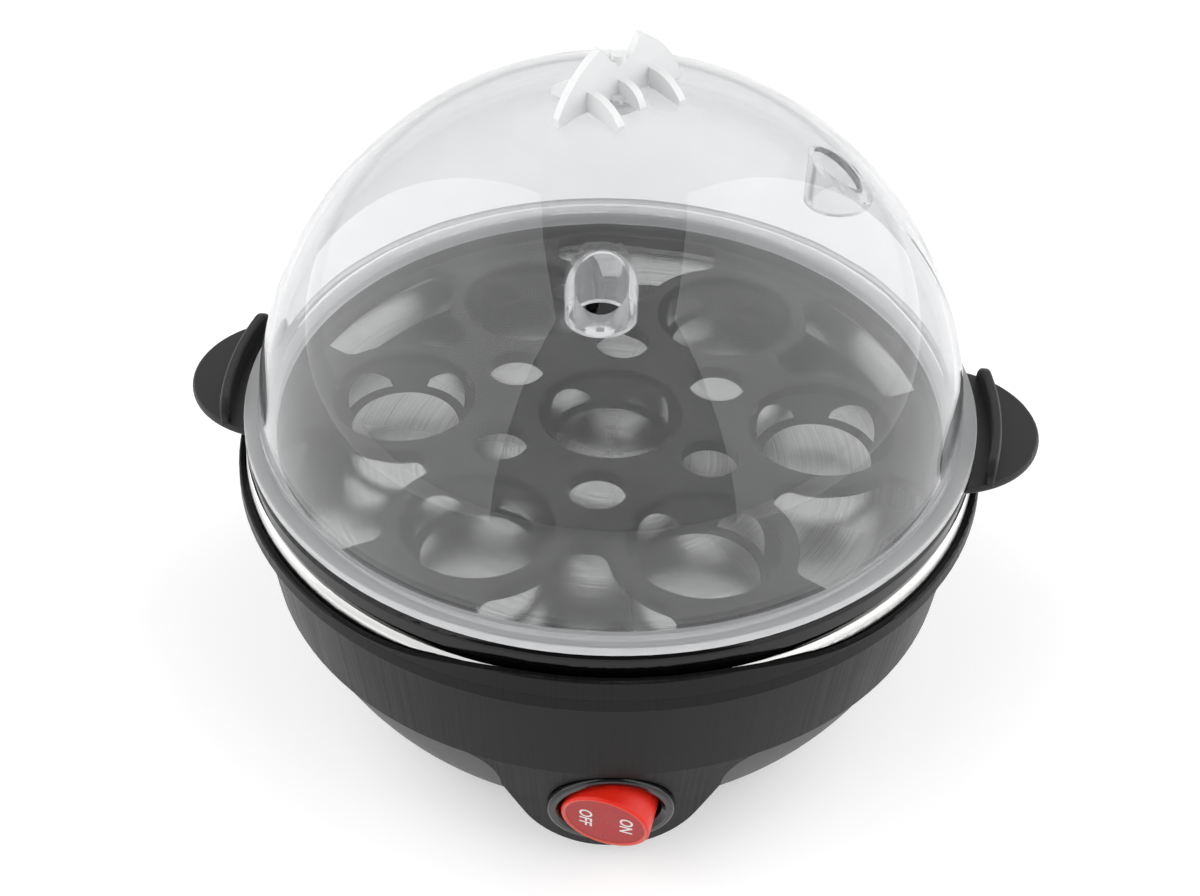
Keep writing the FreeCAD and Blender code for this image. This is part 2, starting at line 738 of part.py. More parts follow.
def make_base_cover():
    outside = cover_form("cover_outside", "0")
    round_off(outside, "Size.cover_edge_round", ring_at(FLOOR_RADIUS, "Size.floor_height"))
    spigot_outer = f"({WALL_INNER} - Size.shell_gap)"
    spigot_inner = f"({spigot_outer} - Size.spigot_wall)"
    top = "(Size.seam_height + Size.spigot_height)"
    spigot = turned("cover_spigot", (
        (spigot_inner, "Size.seam_height - Size.cover_wall / 2"),
        (spigot_outer, "Size.seam_height - Size.cover_wall / 2"),
        (spigot_outer, top),
        (spigot_inner, top),
    ))
    inner = f"({COVER_RADIUS} - Size.cover_wall)"
    hollow = turned("cover_hollow", (
        ("0", "Size.floor_height + Size.cover_wall"),
        (f"{FLOOR_RADIUS} - Size.cover_wall / 2", "Size.floor_height + Size.cover_wall",
         "Size.cover_curve - Size.cover_wall", CCW),
        (inner, "Size.seam_height"),
        (inner, "Size.seam_height + 1"),
        ("0", "Size.seam_height + 1"),
    ))
    posts = []
    bores = []
    for i, angle in enumerate(around(4, 45)):
        x, y = on_circle(POST_CIRCLE, angle)
        posts.append(disc(f"cover_post_{i}", "Size.post_radius", "Size.floor_height",
                          "Size.post_top", x, y))
        bores.append(disc(f"cover_bore_{i}", "Size.screw_radius + Size.screw_gap", "0",
                          "Size.post_top + 1", x, y))
        bores.append(disc(f"cover_recess_{i}", "Size.screw_head_radius + Size.screw_gap", "0",
                          "Size.post_seat", x, y))
        x, y = on_circle(FOOT_CIRCLE, angle)
        bores.append(disc(f"foot_recess_{i}", "Size.foot_radius", "0",
                          "Size.floor_height + Size.foot_recess", x, y))
    hull = cover_form("cover_hull", "0")
    posts = common("cover_posts", fuse("cover_post_set", *posts), hull)
    boss = along_y("gland_boss", "Size.gland_boss_radius",
                   f"{GLAND_FACE} - Size.gland_boss_length", GLAND_FACE, "Size.gland_height")
    gland_hole = along_y("gland_hole", "Size.gland_neck_radius + Size.thread_gap",
                         f"{GLAND_END} - 4", f"{GLAND_FACE} + 1", "Size.gland_height")
    switch_hole = in_switch_disc("cover_switch_hole", "Size.switch_body_radius + 2 * Size.shell_gap",
                                 "-Size.switch_depth - 10", "Size.bezel_radius")
    shell = cut("cover_shell", outside, hollow)
    block_boss = disc("block_boss", "Size.block_boss_radius",
                      "Size.floor_height + Size.cover_wall / 2", BLOCK_BOTTOM, *BLOCK_SCREW)
    block_pilot = disc("block_pilot", "Size.screw_radius + Size.thread_gap",
                       f"{BLOCK_BOTTOM} - Size.block_screw_reach - Size.way_gap",
                       f"{BLOCK_BOTTOM} + 1", *BLOCK_SCREW)
    joined = fuse("cover_joined", shell, spigot, posts, boss, block_boss)
    whole = cut("cover_whole", joined, switch_hole, gland_hole, block_pilot, *bores)
    return rename(whole, "base_cover")


def along_y(name, radius, start, end, height, bore=None):
    """A round piece, or a tube, that lies along Y."""
    body = new_body(name)
    sketch = new_sketch(body, "XZ_Plane")
    draw_circle(sketch, "0", height, radius)
    if bore:
        draw_circle(sketch, "0", height, bore)
    pad(body, sketch, f"({end}) - ({start})", reverse=True)
    return place(body, y=start)


def make_feet():
    names = ("foot_rear_right", "foot_rear_left", "foot_front_left", "foot_front_right")
    feet = []
    for name, angle in zip(names, around(4, 45)):
        x, y = on_circle(FOOT_CIRCLE, angle)
        foot = disc(name, "Size.foot_radius - Size.thread_gap", "0",
                    "Size.floor_height + Size.foot_recess", x, y)
        round_off(foot, "Size.foot_round", ring_at("Size.foot_radius - Size.thread_gap", "0"))
        feet.append(foot)
    return feet


def make_gland():
    neck = along_y("gland_neck", "Size.gland_neck_radius", GLAND_END, GLAND_FACE,
                   "Size.gland_height", "Size.gland_bore_radius")
    flange = along_y("gland_flange", "Size.gland_flange_radius", GLAND_FACE,
                     f"{GLAND_FACE} + Size.gland_flange_width", "Size.gland_height",
                     "Size.gland_bore_radius")
    return rename(fuse("gland_joined", neck, flange), "cord_gland")


def make_pan():
    sheet_in = "Size.pan_sheet"
    under = "(Size.bead_radius - Size.pan_sheet)"
    middle = f"({PAN_RADIUS} + Size.bead_radius)"
    floor = f"({PAN_RADIUS} - Size.pan_taper)"
    return turned("heating_pan", (
        ("0", "Size.pan_floor"),
        ("0", PAN_UNDER),
        (f"{floor} + {sheet_in} / 2", PAN_UNDER),
        (f"{PAN_RADIUS} + {sheet_in}", "Size.pan_wall_height"),
        (f"{PAN_RADIUS} + {sheet_in}", BEAD_HEIGHT, under, CW),
        (middle, f"{BEAD_HEIGHT} + {under}", under, CW),
        (f"{PAN_OUTER} - {sheet_in}", BEAD_HEIGHT),
        (f"{PAN_OUTER} - {sheet_in}", CURL_BOTTOM),
        (PAN_OUTER, CURL_BOTTOM),
        (PAN_OUTER, BEAD_HEIGHT, "Size.bead_radius", CCW),
        (middle, f"{BEAD_HEIGHT} + Size.bead_radius", "Size.bead_radius", CCW),
        (PAN_RADIUS, BEAD_HEIGHT),
        (PAN_RADIUS, "Size.pan_wall_height"),
        (floor, "Size.pan_floor"),
    ))


def make_seal():
    inner = f"({BAND_INNER} - Size.seal_width)"
    outer = f"({BAND_INNER} - Size.thread_gap)"
    return turned("pan_seal", (
        (inner, "Size.ledge_height"),
        (outer, "Size.ledge_height"),
        (outer, CURL_BOTTOM),
        (inner, CURL_BOTTOM),
    ))


def make_heat_plate():
    plate = disc("plate_disc", "Size.plate_radius", PLATE_UNDER, PAN_UNDER)
    stud = disc("plate_stud", "Size.stud_radius", "Size.stud_end", f"{PLATE_UNDER} + 1")
    pads = []
    pilots = []
    for i, x in enumerate(("Size.thermostat_ear", "-Size.thermostat_ear")):
        y = "-Size.thermostat_offset"
        pads.append(disc(f"plate_pad_{i}", "Size.plate_pad_radius", THERMOSTAT_PLATE_TOP,
                         f"{PLATE_UNDER} + 1", x, y))
        pilots.append(disc(f"plate_pilot_{i}", "Size.screw_radius + Size.thread_gap",
                           f"{THERMOSTAT_PLATE_TOP} - 1", f"{PLATE_UNDER} + Size.plate_pilot_depth", x, y))
    pilots.append(disc("fuse_pilot", "Size.screw_radius + Size.thread_gap",
                       f"{PLATE_UNDER} - 1", f"{PLATE_UNDER} + Size.plate_pilot_depth", "0", CLIP_SCREW_Y))
    joined = fuse("plate_joined", plate, stud, *pads)
    return rename(cut("plate_whole", joined, *pilots), "heat_plate")


def swept(name, wire, radius):
    """A round tube along a wire of lines and tangent arcs."""
    start = wire.Vertexes[0].Point
    heading = wire.Edges[0].tangentAt(wire.Edges[0].FirstParameter)
    ring = Part.Wire([Part.Circle(start, heading, radius).toShape()])
    shape = wire.makePipeShell([ring], True, False)
    tube = doc.addObject("Part::Feature", name)
    tube.Label = name
    tube.Shape = shape
    return tube


def make_element():
    """A sheathed tube bent to an open ring under the heat plate, both ends down."""
    circle = number("Size.element_circle")
    height = number(f"{PLATE_UNDER} - Size.element_radius")
    bend = number("Size.element_bend")
    half_gap = math.radians(number("Size.element_gap / 2"))
    first = math.pi / 2 + half_gap
    last = 5 * math.pi / 2 - half_gap
    ends = []
    for angle, heading in ((first, -1), (last, 1)):
        end = Vector(circle * math.cos(angle), circle * math.sin(angle), height)
        along = Vector(-math.sin(angle), math.cos(angle), 0) * heading
        lower = end + along * bend - Vector(0, 0, bend)
        slant = math.radians(45)
        drop = Vector(0, 0, bend * (1 - math.cos(slant)))
        halfway = end + along * bend * math.sin(slant) - drop
        tip = Vector(lower.x, lower.y, number("Size.element_leg_end"))
        ends.append((end, halfway, lower, tip))
    start, finish = ends
    middle = (first + last) / 2
    far_side = Vector(circle * math.cos(middle), circle * math.sin(middle), height)
    route = Part.Wire([
        Part.LineSegment(start[3], start[2]).toShape(),
        Part.Arc(start[2], start[1], start[0]).toShape(),
        Part.Arc(start[0], far_side, finish[0]).toShape(),
        Part.Arc(finish[0], finish[1], finish[2]).toShape(),
        Part.LineSegment(finish[2], finish[3]).toShape(),
    ])
    element = swept("heating_element", route, number("Size.element_radius"))
    pin_height = number("Size.pin_length")
    pins = [Part.makeCylinder(number("Size.pin_radius"), pin_height + 1,
                              spots[3] - Vector(0, 0, pin_height)) for spots in ends]
    element.Shape = element.Shape.multiFuse(pins).removeSplitter()
    return element


def pin_end(side):
    """The lower end of one of the element's pins; side is -1 or 1 along X."""
    half_gap = math.radians(number("Size.element_gap / 2"))
    circle = number("Size.element_circle")
    bend = number("Size.element_bend")
    x = circle * math.sin(half_gap) - bend * math.cos(half_gap)
    y = circle * math.cos(half_gap) + bend * math.sin(half_gap)
    return Vector(side * x, y, number("Size.element_leg_end - Size.pin_length"))


def make_bridge():
    """The steel strap that pulls the pan down, its nut and its two screws."""
    strap = slab("bridge_strap", f"2 * ({BRIDGE_CIRCLE} + Size.bridge_end)", "Size.bridge_width",
                 BRIDGE_UNDER, BRIDGE_TOP)
    holes = [disc("bridge_stud_hole", "Size.stud_radius + Size.screw_gap",
                  f"{BRIDGE_UNDER} - 1", f"{BRIDGE_TOP} + 1")]
    screws = []
    for i, angle in enumerate(around(2)):
        x, y = on_circle(BRIDGE_CIRCLE, angle)
        holes.append(disc(f"bridge_hole_{i}", "Size.screw_radius + Size.screw_gap",
                          f"{BRIDGE_UNDER} - 1", f"{BRIDGE_TOP} + 1", x, y))
        screws.append(screw(f"bridge_screw_{i}", BRIDGE_UNDER, "Size.bridge_screw_length", x, y))
    bridge = rename(cut("bridge_cut", strap, *holes), "pan_bridge")
    body = new_body("nut_hexagon")
    sketch = new_sketch(body, "XY_Plane")
    corner = "(Size.nut_flats / 2 / cos(30))"
    draw(sketch, [on_circle(corner, angle) for angle in around(6, 30)])
    pad(body, sketch, "Size.nut_height")
    place(body, z=f"{BRIDGE_UNDER} - Size.nut_height")
    bore = disc("nut_bore", "Size.stud_radius + Size.thread_gap",
                f"{BRIDGE_UNDER} - Size.nut_height - 1", f"{BRIDGE_UNDER} + 1")
    nut = rename(cut("nut_cut", body, bore), "bridge_nut")
    return bridge, nut, rename(fuse("bridge_screw_set", *screws), "bridge_screws")


def screw(name, seat, length, x, y):
    """A pan-head screw that points up, its head under a seat."""
    turn = turned(name, (
        ("0", f"{seat} - Size.screw_head_height"),
        ("Size.screw_head_radius - Size.screw_head_edge", f"{seat} - Size.screw_head_height"),
        ("Size.screw_head_radius", f"{seat} - Size.screw_head_height + Size.screw_head_edge"),
        ("Size.screw_head_radius", seat),
        ("Size.screw_radius", seat),
        ("Size.screw_radius", f"{seat} + {length}"),
        ("0", f"{seat} + {length}"),
    ))
    return place(turn, x, y)


def make_base_screws():
    screws = []
    for i, angle in enumerate(around(4, 45)):
        x, y = on_circle(POST_CIRCLE, angle)
        screws.append(screw(f"base_screw_{i}", "Size.post_seat", "Size.base_screw_length", x, y))
    return rename(fuse("base_screw_set", *screws), "base_screws")


def make_thermostat():
    y = "-Size.thermostat_offset"
    body = disc("thermostat_body", "Size.thermostat_radius",
                f"{PLATE_UNDER} - Size.thermostat_height", PLATE_UNDER, "0", y)
    under = f"({THERMOSTAT_PLATE_TOP} - Size.thermostat_plate)"
    ears = slab("thermostat_ears", "2 * (Size.thermostat_ear + Size.thermostat_ear_end)",
                "Size.thermostat_ear_width", under, THERMOSTAT_PLATE_TOP, "0", y)
    holes = []
    screws = []
    for i, x in enumerate(("Size.thermostat_ear", "-Size.thermostat_ear")):
        holes.append(disc(f"thermostat_hole_{i}", "Size.screw_radius + Size.thread_gap",
                          f"{under} - 1", f"{THERMOSTAT_PLATE_TOP} + 1", x, y))
        screws.append(screw(f"thermostat_screw_{i}", under, "Size.thermostat_screw_length", x, y))
    blades = []
    bottom = f"({PLATE_UNDER} - Size.thermostat_height)"
    for i, x in enumerate(("Size.blade_offset", "-Size.blade_offset")):
        blades.append(slab(f"thermostat_blade_{i}", "Size.blade_sheet", "Size.blade_width",
                           f"{bottom} - Size.blade_length", f"{bottom} + 1", x, y))
    joined = fuse("thermostat_joined", body, ears, *blades)
    thermostat = rename(cut("thermostat_cut", joined, *holes), "thermostat")
    return thermostat, rename(fuse("thermostat_screw_set", *screws), "thermostat_screws")


def make_thermal_fuse():
    """The fuse under the plate, the clip that holds it and the clip's screw."""
    capsule = along_x("fuse_capsule", "Size.fuse_radius", "Size.fuse_length", FUSE_HEIGHT)
    leads = along_x("fuse_leads", "Size.fuse_lead_radius",
                    "Size.fuse_length + 2 * Size.fuse_lead_length", FUSE_HEIGHT)
    fuse_piece = rename(fuse("fuse_joined", capsule, leads), "thermal_fuse")
    inner = "(Size.fuse_radius + Size.clip_gap)"
    outer = f"({inner} + Size.clip_sheet)"
    ring = along_x("clip_ring", outer, "Size.clip_width", FUSE_HEIGHT)
    bore = along_x("clip_bore", inner, "Size.clip_width + 2", FUSE_HEIGHT)
    foot_top = f"({PLATE_UNDER} - Size.thread_gap)"
    foot_under = f"({foot_top} - Size.clip_sheet)"
    foot = slab("clip_foot_plate", "Size.clip_width", "Size.clip_foot_length", foot_under,
                foot_top, "0", "(Size.fuse_offset - 1 - Size.clip_foot_length / 2)")
    top = slab("clip_top", "2 * Size.clip_width", f"3 * {outer}", foot_top,
               f"{PLATE_UNDER} + {outer}", "0", "Size.fuse_offset")
    hole = disc("clip_hole", "Size.screw_radius + Size.thread_gap", f"{foot_under} - 1",
                PLATE_UNDER, "0", CLIP_SCREW_Y)
    clip = rename(cut("clip_cut", fuse("clip_joined", ring, foot), bore, top, hole), "fuse_clip")
    clip_screw = screw("clip_screw", foot_under, "Size.clip_screw_length", "0", CLIP_SCREW_Y)
    return fuse_piece, clip, clip_screw


def along_x(name, radius, length, height):
    """A round piece that lies along X over the fuse's place."""
    body = new_body(name)
    sketch = new_sketch(body, "YZ_Plane")
    draw_circle(sketch, "Size.fuse_offset", height, radius)
    pad(body, sketch, length, midplane=True)
    return body


def make_block():
    """The terminal block, the two connectors inside it and its screw."""
    top = f"({BLOCK_BOTTOM} + Size.block_height)"
    body = slab("block_body", "Size.block_length", "Size.block_width", BLOCK_BOTTOM, top,
                *BLOCK_SCREW)
    seat = f"({BLOCK_BOTTOM} + Size.block_seat)"
    tools = [disc("block_hole", "Size.screw_radius + Size.screw_gap", f"{BLOCK_BOTTOM} - 1",
                  f"{top} + 1", *BLOCK_SCREW),
             disc("block_recess", "Size.screw_head_radius + Size.screw_gap", seat,
                  f"{top} + 1", *BLOCK_SCREW)]
    way_bottom = f"({BLOCK_BOTTOM} + Size.way_floor)"
    way_top = f"({way_bottom} + Size.way_width)"
    tubes = []
    for i, shift in enumerate(("-Size.way_pitch", "Size.way_pitch")):
        x = f"(Size.block_x + ({shift}))"
        tools.append(slab(f"block_way_{i}", "Size.way_width", "Size.block_width + 2",
                          way_bottom, way_top, x, "Size.block_y"))
        tubes.append(slab(f"connector_{i}", "Size.way_width - 2 * Size.way_gap",
                          CONNECTOR_LENGTH, f"{way_bottom} + Size.way_gap",
                          f"{way_top} - Size.way_gap", x, "Size.block_y"))
    block = rename(cut("block_cut", body, *tools), "terminal_block")
    end = f"({BLOCK_BOTTOM} - Size.block_screw_reach)"
    lowered = turned("block_screw", (
        ("0", f"{seat} + Size.screw_head_height"),
        ("0", end),
        ("Size.screw_radius", end),
        ("Size.screw_radius", seat),
        ("Size.screw_head_radius", seat),
        ("Size.screw_head_radius", f"{seat} + Size.screw_head_height"),
    ))
    place(lowered, *BLOCK_SCREW)
    return block, rename(fuse("connector_set", *tubes), "block_connectors"), lowered


def make_switch():
    """The round switch's moulding, its three blades and the lamp inside it."""
    bezel = in_switch_disc("switch_bezel", "Size.bezel_radius", "0", "Size.bezel_height")
    round_off(bezel, "Size.bezel_round", ring_at("Size.bezel_radius", "Size.bezel_height"))
    barrel = in_switch_disc("switch_barrel", "Size.switch_body_radius", "-Size.switch_depth",
                            "Size.bezel_height / 2")
    cavity = in_switch_disc("switch_cavity", "Size.switch_opening", "-Size.switch_cavity",
                            "Size.bezel_height + 1")
    pins = cross_pin("switch_pin_holes", "Size.pivot_radius + Size.pivot_gap",
                     "Size.pivot_reach + 2 * Size.pivot_gap")
    slots = []
    blades = []
    for i, x in enumerate(("-Size.terminal_pitch", "0", "Size.terminal_pitch")):
        slots.append(in_switch_slab(f"blade_slot_{i}", "Size.terminal_sheet + 2 * Size.thread_gap",
                                    "Size.terminal_width + 2 * Size.thread_gap",
                                    "-Size.switch_depth - 1",
                                    "-Size.switch_depth + Size.terminal_root + Size.thread_gap", x))
        blades.append(in_switch_slab(f"blade_{i}", "Size.terminal_sheet", "Size.terminal_width",
                                     "-Size.switch_depth - Size.terminal_length",
                                     "-Size.switch_depth + Size.terminal_root", x))
    mouth = "(Size.switch_opening + Size.bezel_height / 2)"
    funnel = in_switch(turned("switch_funnel", (
        ("0", "Size.bezel_height / 2"),
        ("Size.switch_opening", "Size.bezel_height / 2"),
        (mouth, "Size.bezel_height"),
        (mouth, "Size.bezel_height + 1"),
        ("0", "Size.bezel_height + 1"),
    )))
    joined = fuse("switch_joined", bezel, barrel)
    body = rename(cut("switch_cut", joined, cavity, funnel, pins, *slots), "switch_body")
    terminals = rename(fuse("switch_blade_set", *blades), "switch_terminals")
    lamp = new_body("neon_lamp")
    sketch = new_sketch(lamp, "XZ_Plane")
    draw_circle(sketch, "0", "Size.lamp_radius - Size.switch_cavity", "Size.lamp_radius")
    pad(lamp, sketch, "Size.lamp_length", midplane=True)
    in_switch(lamp)
    return body, terminals, lamp


def cross_pin(name, radius, reach):
    """A round pin across the switch, along the rocker's axis."""
    body = new_body(name)
    sketch = new_sketch(body, "XZ_Plane")
    draw_circle(sketch, "0", "Size.pivot_height", radius)
    pad(body, sketch, f"2 * ({reach})", midplane=True)
    return in_switch(body)


def in_switch_slab(name, length, width, back, front, x="0"):
    """A block on the switch's own axes, between two depths measured outwards."""
    body = new_body(name)
    sketch = new_sketch(body, "XZ_Plane")
    left, right = f"({x}) - ({length}) / 2", f"({x}) + ({length}) / 2"
    draw(sketch, ((left, back), (right, back), (right, front), (left, front)))
    pad(body, sketch, width, midplane=True)
    return in_switch(body)


def make_rocker():
    """The rocker at rest: a round knob tipped until its left edge meets the bezel's top."""
    half = "(Size.rocker_swing / 2)"
    above = "(Size.bezel_height - Size.pivot_height)"
    face = f"(({above} + Size.rocker_radius * sin({half})) / cos({half}))"
    knob = turned("rocker_knob", (
        ("0", "-Size.rocker_skirt"),
        ("Size.rocker_radius", "-Size.rocker_skirt"),
        ("Size.rocker_radius", f"{face} - Size.rocker_round", "Size.rocker_round", CCW),
        ("Size.rocker_radius - Size.rocker_round", face),
        ("Size.dish_radius + Size.dish_depth", face),
        ("Size.dish_radius", f"{face} - Size.dish_depth"),
        ("0", f"{face} - Size.dish_depth"),
    ))
    place(knob, axis=Vector(0, -1, 0), angle=half)
    pin = new_body("rocker_pin")
    sketch = new_sketch(pin, "XZ_Plane")
    draw_circle(sketch, "0", "0", "Size.pivot_radius")
    pad(pin, sketch, "2 * Size.pivot_reach", midplane=True)
    rocker = rename(fuse("rocker_joined", knob, pin), "rocker")
    y = f"{SWITCH_Y} - Size.pivot_height * cos(Size.chin_tilt)"
    z = f"{SWITCH_Z} - Size.pivot_height * sin(Size.chin_tilt)"
    return place(rocker, "0", y, z, Vector(1, 0, 0), "90 + Size.chin_tilt")


def bell(name, grow, bottom, top, angle):
    """One bell-shaped opening of the tray, or its wall when grown."""
    flank = f"(Size.bell_flank - ({grow}))"
    half = f"(Size.bell_half + ({grow}))"
    outer = f"({BELL_OUTER} + ({grow}))"
    apex = f"(Size.bell_apex - ({grow}))"
    cup_x = "(Size.cup_pitch * cos(60))"
    cup_y = "(Size.cup_pitch * sin(60))"
    apex_x = f"({cup_x} - sqrt(pow({flank}; 2) - pow({apex} - {cup_y}; 2)))"
    lobe_y = f"({cup_y} + sqrt(pow({flank}; 2) - pow({half} - {cup_x}; 2)))"
    foot_y = f"sqrt(pow({outer}; 2) - pow({half}; 2))"
    body = new_body(name)
    sketch = new_sketch(body, "XY_Plane")
    draw(sketch, (
        (apex_x, "-" + apex),
        ("-" + apex_x, "-" + apex, flank, CW),
        ("-" + half, "-" + lobe_y),
        ("-" + half, "-" + foot_y, outer, CCW),
        (half, "-" + foot_y),
        (half, "-" + lobe_y, flank, CW),
    ))
    pad(body, sketch, f"({top}) - ({bottom})")
    for x, y, radius in ((apex_x, apex, "Size.bell_apex_round"),
                         (half, lobe_y, "Size.bell_lobe_round"),
                         (half, foot_y, "Size.bell_corner_round")):
        round_off(body, radius, upright_at(x, y))
    return place(body, z=bottom, angle=str(angle))


def upright_at(x, y):
    """Picks the upright edges at a distance either side of the body's middle."""
    def picks(edge):
        a, b = edge.Vertexes[0].Point, edge.Vertexes[-1].Point
        upright = abs(a.x - b.x) + abs(a.y - b.y) < 0.01 < abs(a.z - b.z)
        near = abs(abs(a.x) - number(x)) + abs(abs(a.y) - number(y)) < 0.05
        return upright and near
    return picks


def cup(name, x, y):
    """One egg cup: a short band and a cone with four arched windows."""
    band = "(Size.tray_top - Size.cup_band)"
    body = turned(name, (
        ("Size.cup_bottom_radius", "Size.cup_bottom"),
        ("Size.cup_bottom_radius + Size.cup_wall", "Size.cup_bottom"),
        ("Size.cup_radius + Size.cup_wall", band),
        ("Size.cup_radius + Size.cup_wall", "Size.tray_top"),
        ("Size.cup_radius", "Size.tray_top"),
        ("Size.cup_radius", band),
    ))
    round_off(body, "Size.cup_round", ring_at("Size.cup_radius", "Size.tray_top"))
    doc.recompute()
    sketch = new_sketch(body, "XZ_Plane", "Window")
    sill = "(Size.cup_bottom + Size.cup_ring)"
    side = f"({sill} + Size.window_side)"
    arch = "(pow(Size.window_half; 2) + pow(Size.window_arch; 2)) / (2 * Size.window_arch)"
    draw(sketch, (
        ("-Size.window_half", sill),
        ("Size.window_half", sill),
        ("Size.window_half", side, arch, CCW),
        ("-Size.window_half", side),
    ))
    pocket = body.newObject("PartDesign::Pocket", name + "_window")
    pocket.Profile = sketch
    bind(pocket, "Length", "Size.cup_radius + 2 * Size.cup_wall")
    windows = body.newObject("PartDesign::PolarPattern", name + "_windows")
    windows.Originals = [pocket]
    windows.Axis = (sketch, ["V_Axis"])
    windows.Angle = 360
    windows.Occurrences = 4
    body.Tip = windows
    return place(body, x, y, angle="Size.window_turn - Size.tray_turn")


def groove(body, plane, name, corners):
    """Turns an outline about Z out of a body."""
    sketch = new_sketch(body, plane, name)
    draw(sketch, corners)
    feature = body.newObject("PartDesign::Groove", sketch.Name + "_groove")
    feature.Profile = sketch
    feature.ReferenceAxis = (sketch, ["V_Axis"])
    feature.Angle = 360
    return feature


def fin(name):
    """An upright fin that follows the rim, its ends rounded as seen from outside."""
    body = new_body(name)
    sketch = new_sketch(body, "YZ_Plane")
    root = "(Size.ear_top - Size.ear_height / 2)"
    shoulder = "(Size.fin_top - Size.fin_corner)"
    flat = "(Size.fin_half - Size.fin_corner)"
    draw(sketch, (
        ("-Size.fin_half", root),
        ("Size.fin_half", root),
        ("Size.fin_half", shoulder, "Size.fin_corner", CCW),
        (flat, "Size.fin_top"),
        ("-" + flat, "Size.fin_top", "Size.fin_corner", CCW),
        ("-Size.fin_half", shoulder),
    ))
    pad(body, sketch, f"{FIN_OUTER} + 1")
    past = f"({FIN_OUTER} + Size.fin_half)"
    groove(body, "XZ_Plane", "Outside", (
        (FIN_OUTER, f"{root} - 1"),
        (past, f"{root} - 1"),
        (past, "Size.fin_top + 1"),
        (FIN_OUTER, "Size.fin_top + 1"),
    ))
    groove(body, "XZ_Plane", "Inside", (
        ("0", f"{root} - 1"),
        (FIN_INNER, f"{root} - 1"),
        (FIN_INNER, "Size.fin_top + 1"),
        ("0", "Size.fin_top + 1"),
    ))
    return round_off(body, "Size.fin_round", ridge_of_fin)


def ridge_of_fin(edge):
    """Picks the edges that run up the fin's ends and along its top."""
    box = edge.BoundBox
    above_root = box.ZMax > number("Size.ear_top - Size.ear_height / 2") + 0.01
    across = box.YLength < 0.01 and box.ZLength < 0.01
    return above_root and not across


def ear(name, angle):
    """One ear: a round plate outside the rim with an upright curved fin."""
    plate = disc(name + "_plate", "Size.ear_radius", "Size.ear_top - Size.ear_height",
                 "Size.ear_top", f"{TRAY_RIM} - Size.ear_overlap")
    round_off(plate, "Size.ear_round", ring_at("Size.ear_radius", "Size.ear_height"),
              ring_at("Size.ear_radius", "0"))
    inside = disc(name + "_inside", f"{TRAY_RIM} - Size.tray_wall / 2",
                  "Size.ear_top - Size.ear_height - 1", "Size.ear_top + 1")
    whole = fuse(name, cut(name + "_cut", plate, inside), fin(name + "_fin"))
    return place(whole, angle=str(angle))


def soften(name, base, radius, picks):
    """Rounds the edges of a finished piece that the test picks."""
    doc.recompute()
    rounded = doc.addObject("Part::Fillet", name)
    rounded.Base = base
    size = number(radius)
    edges = base.Shape.Edges
    rounded.Edges = [(i + 1, size, size) for i, e in enumerate(edges) if picks(e)]
    return rounded


def lip_of_opening(edge):
    """Picks the upper edges of the steam openings, and not those of the cups."""
    box = edge.BoundBox
    level = max(abs(box.ZMin - number("Size.tray_top")), abs(box.ZMax - number("Size.tray_top")))
    points = [v.Point for v in edge.Vertexes]
    reach = max(math.hypot(p.x, p.y) for p in points)
    curve = getattr(edge.Curve, "Radius", 0)
    of_cup = abs(curve - number("Size.cup_radius + Size.cup_wall / 2")) < 0.01
    return level < 0.01 and reach < number(f"{BELL_OUTER} + 0.5") and not of_cup


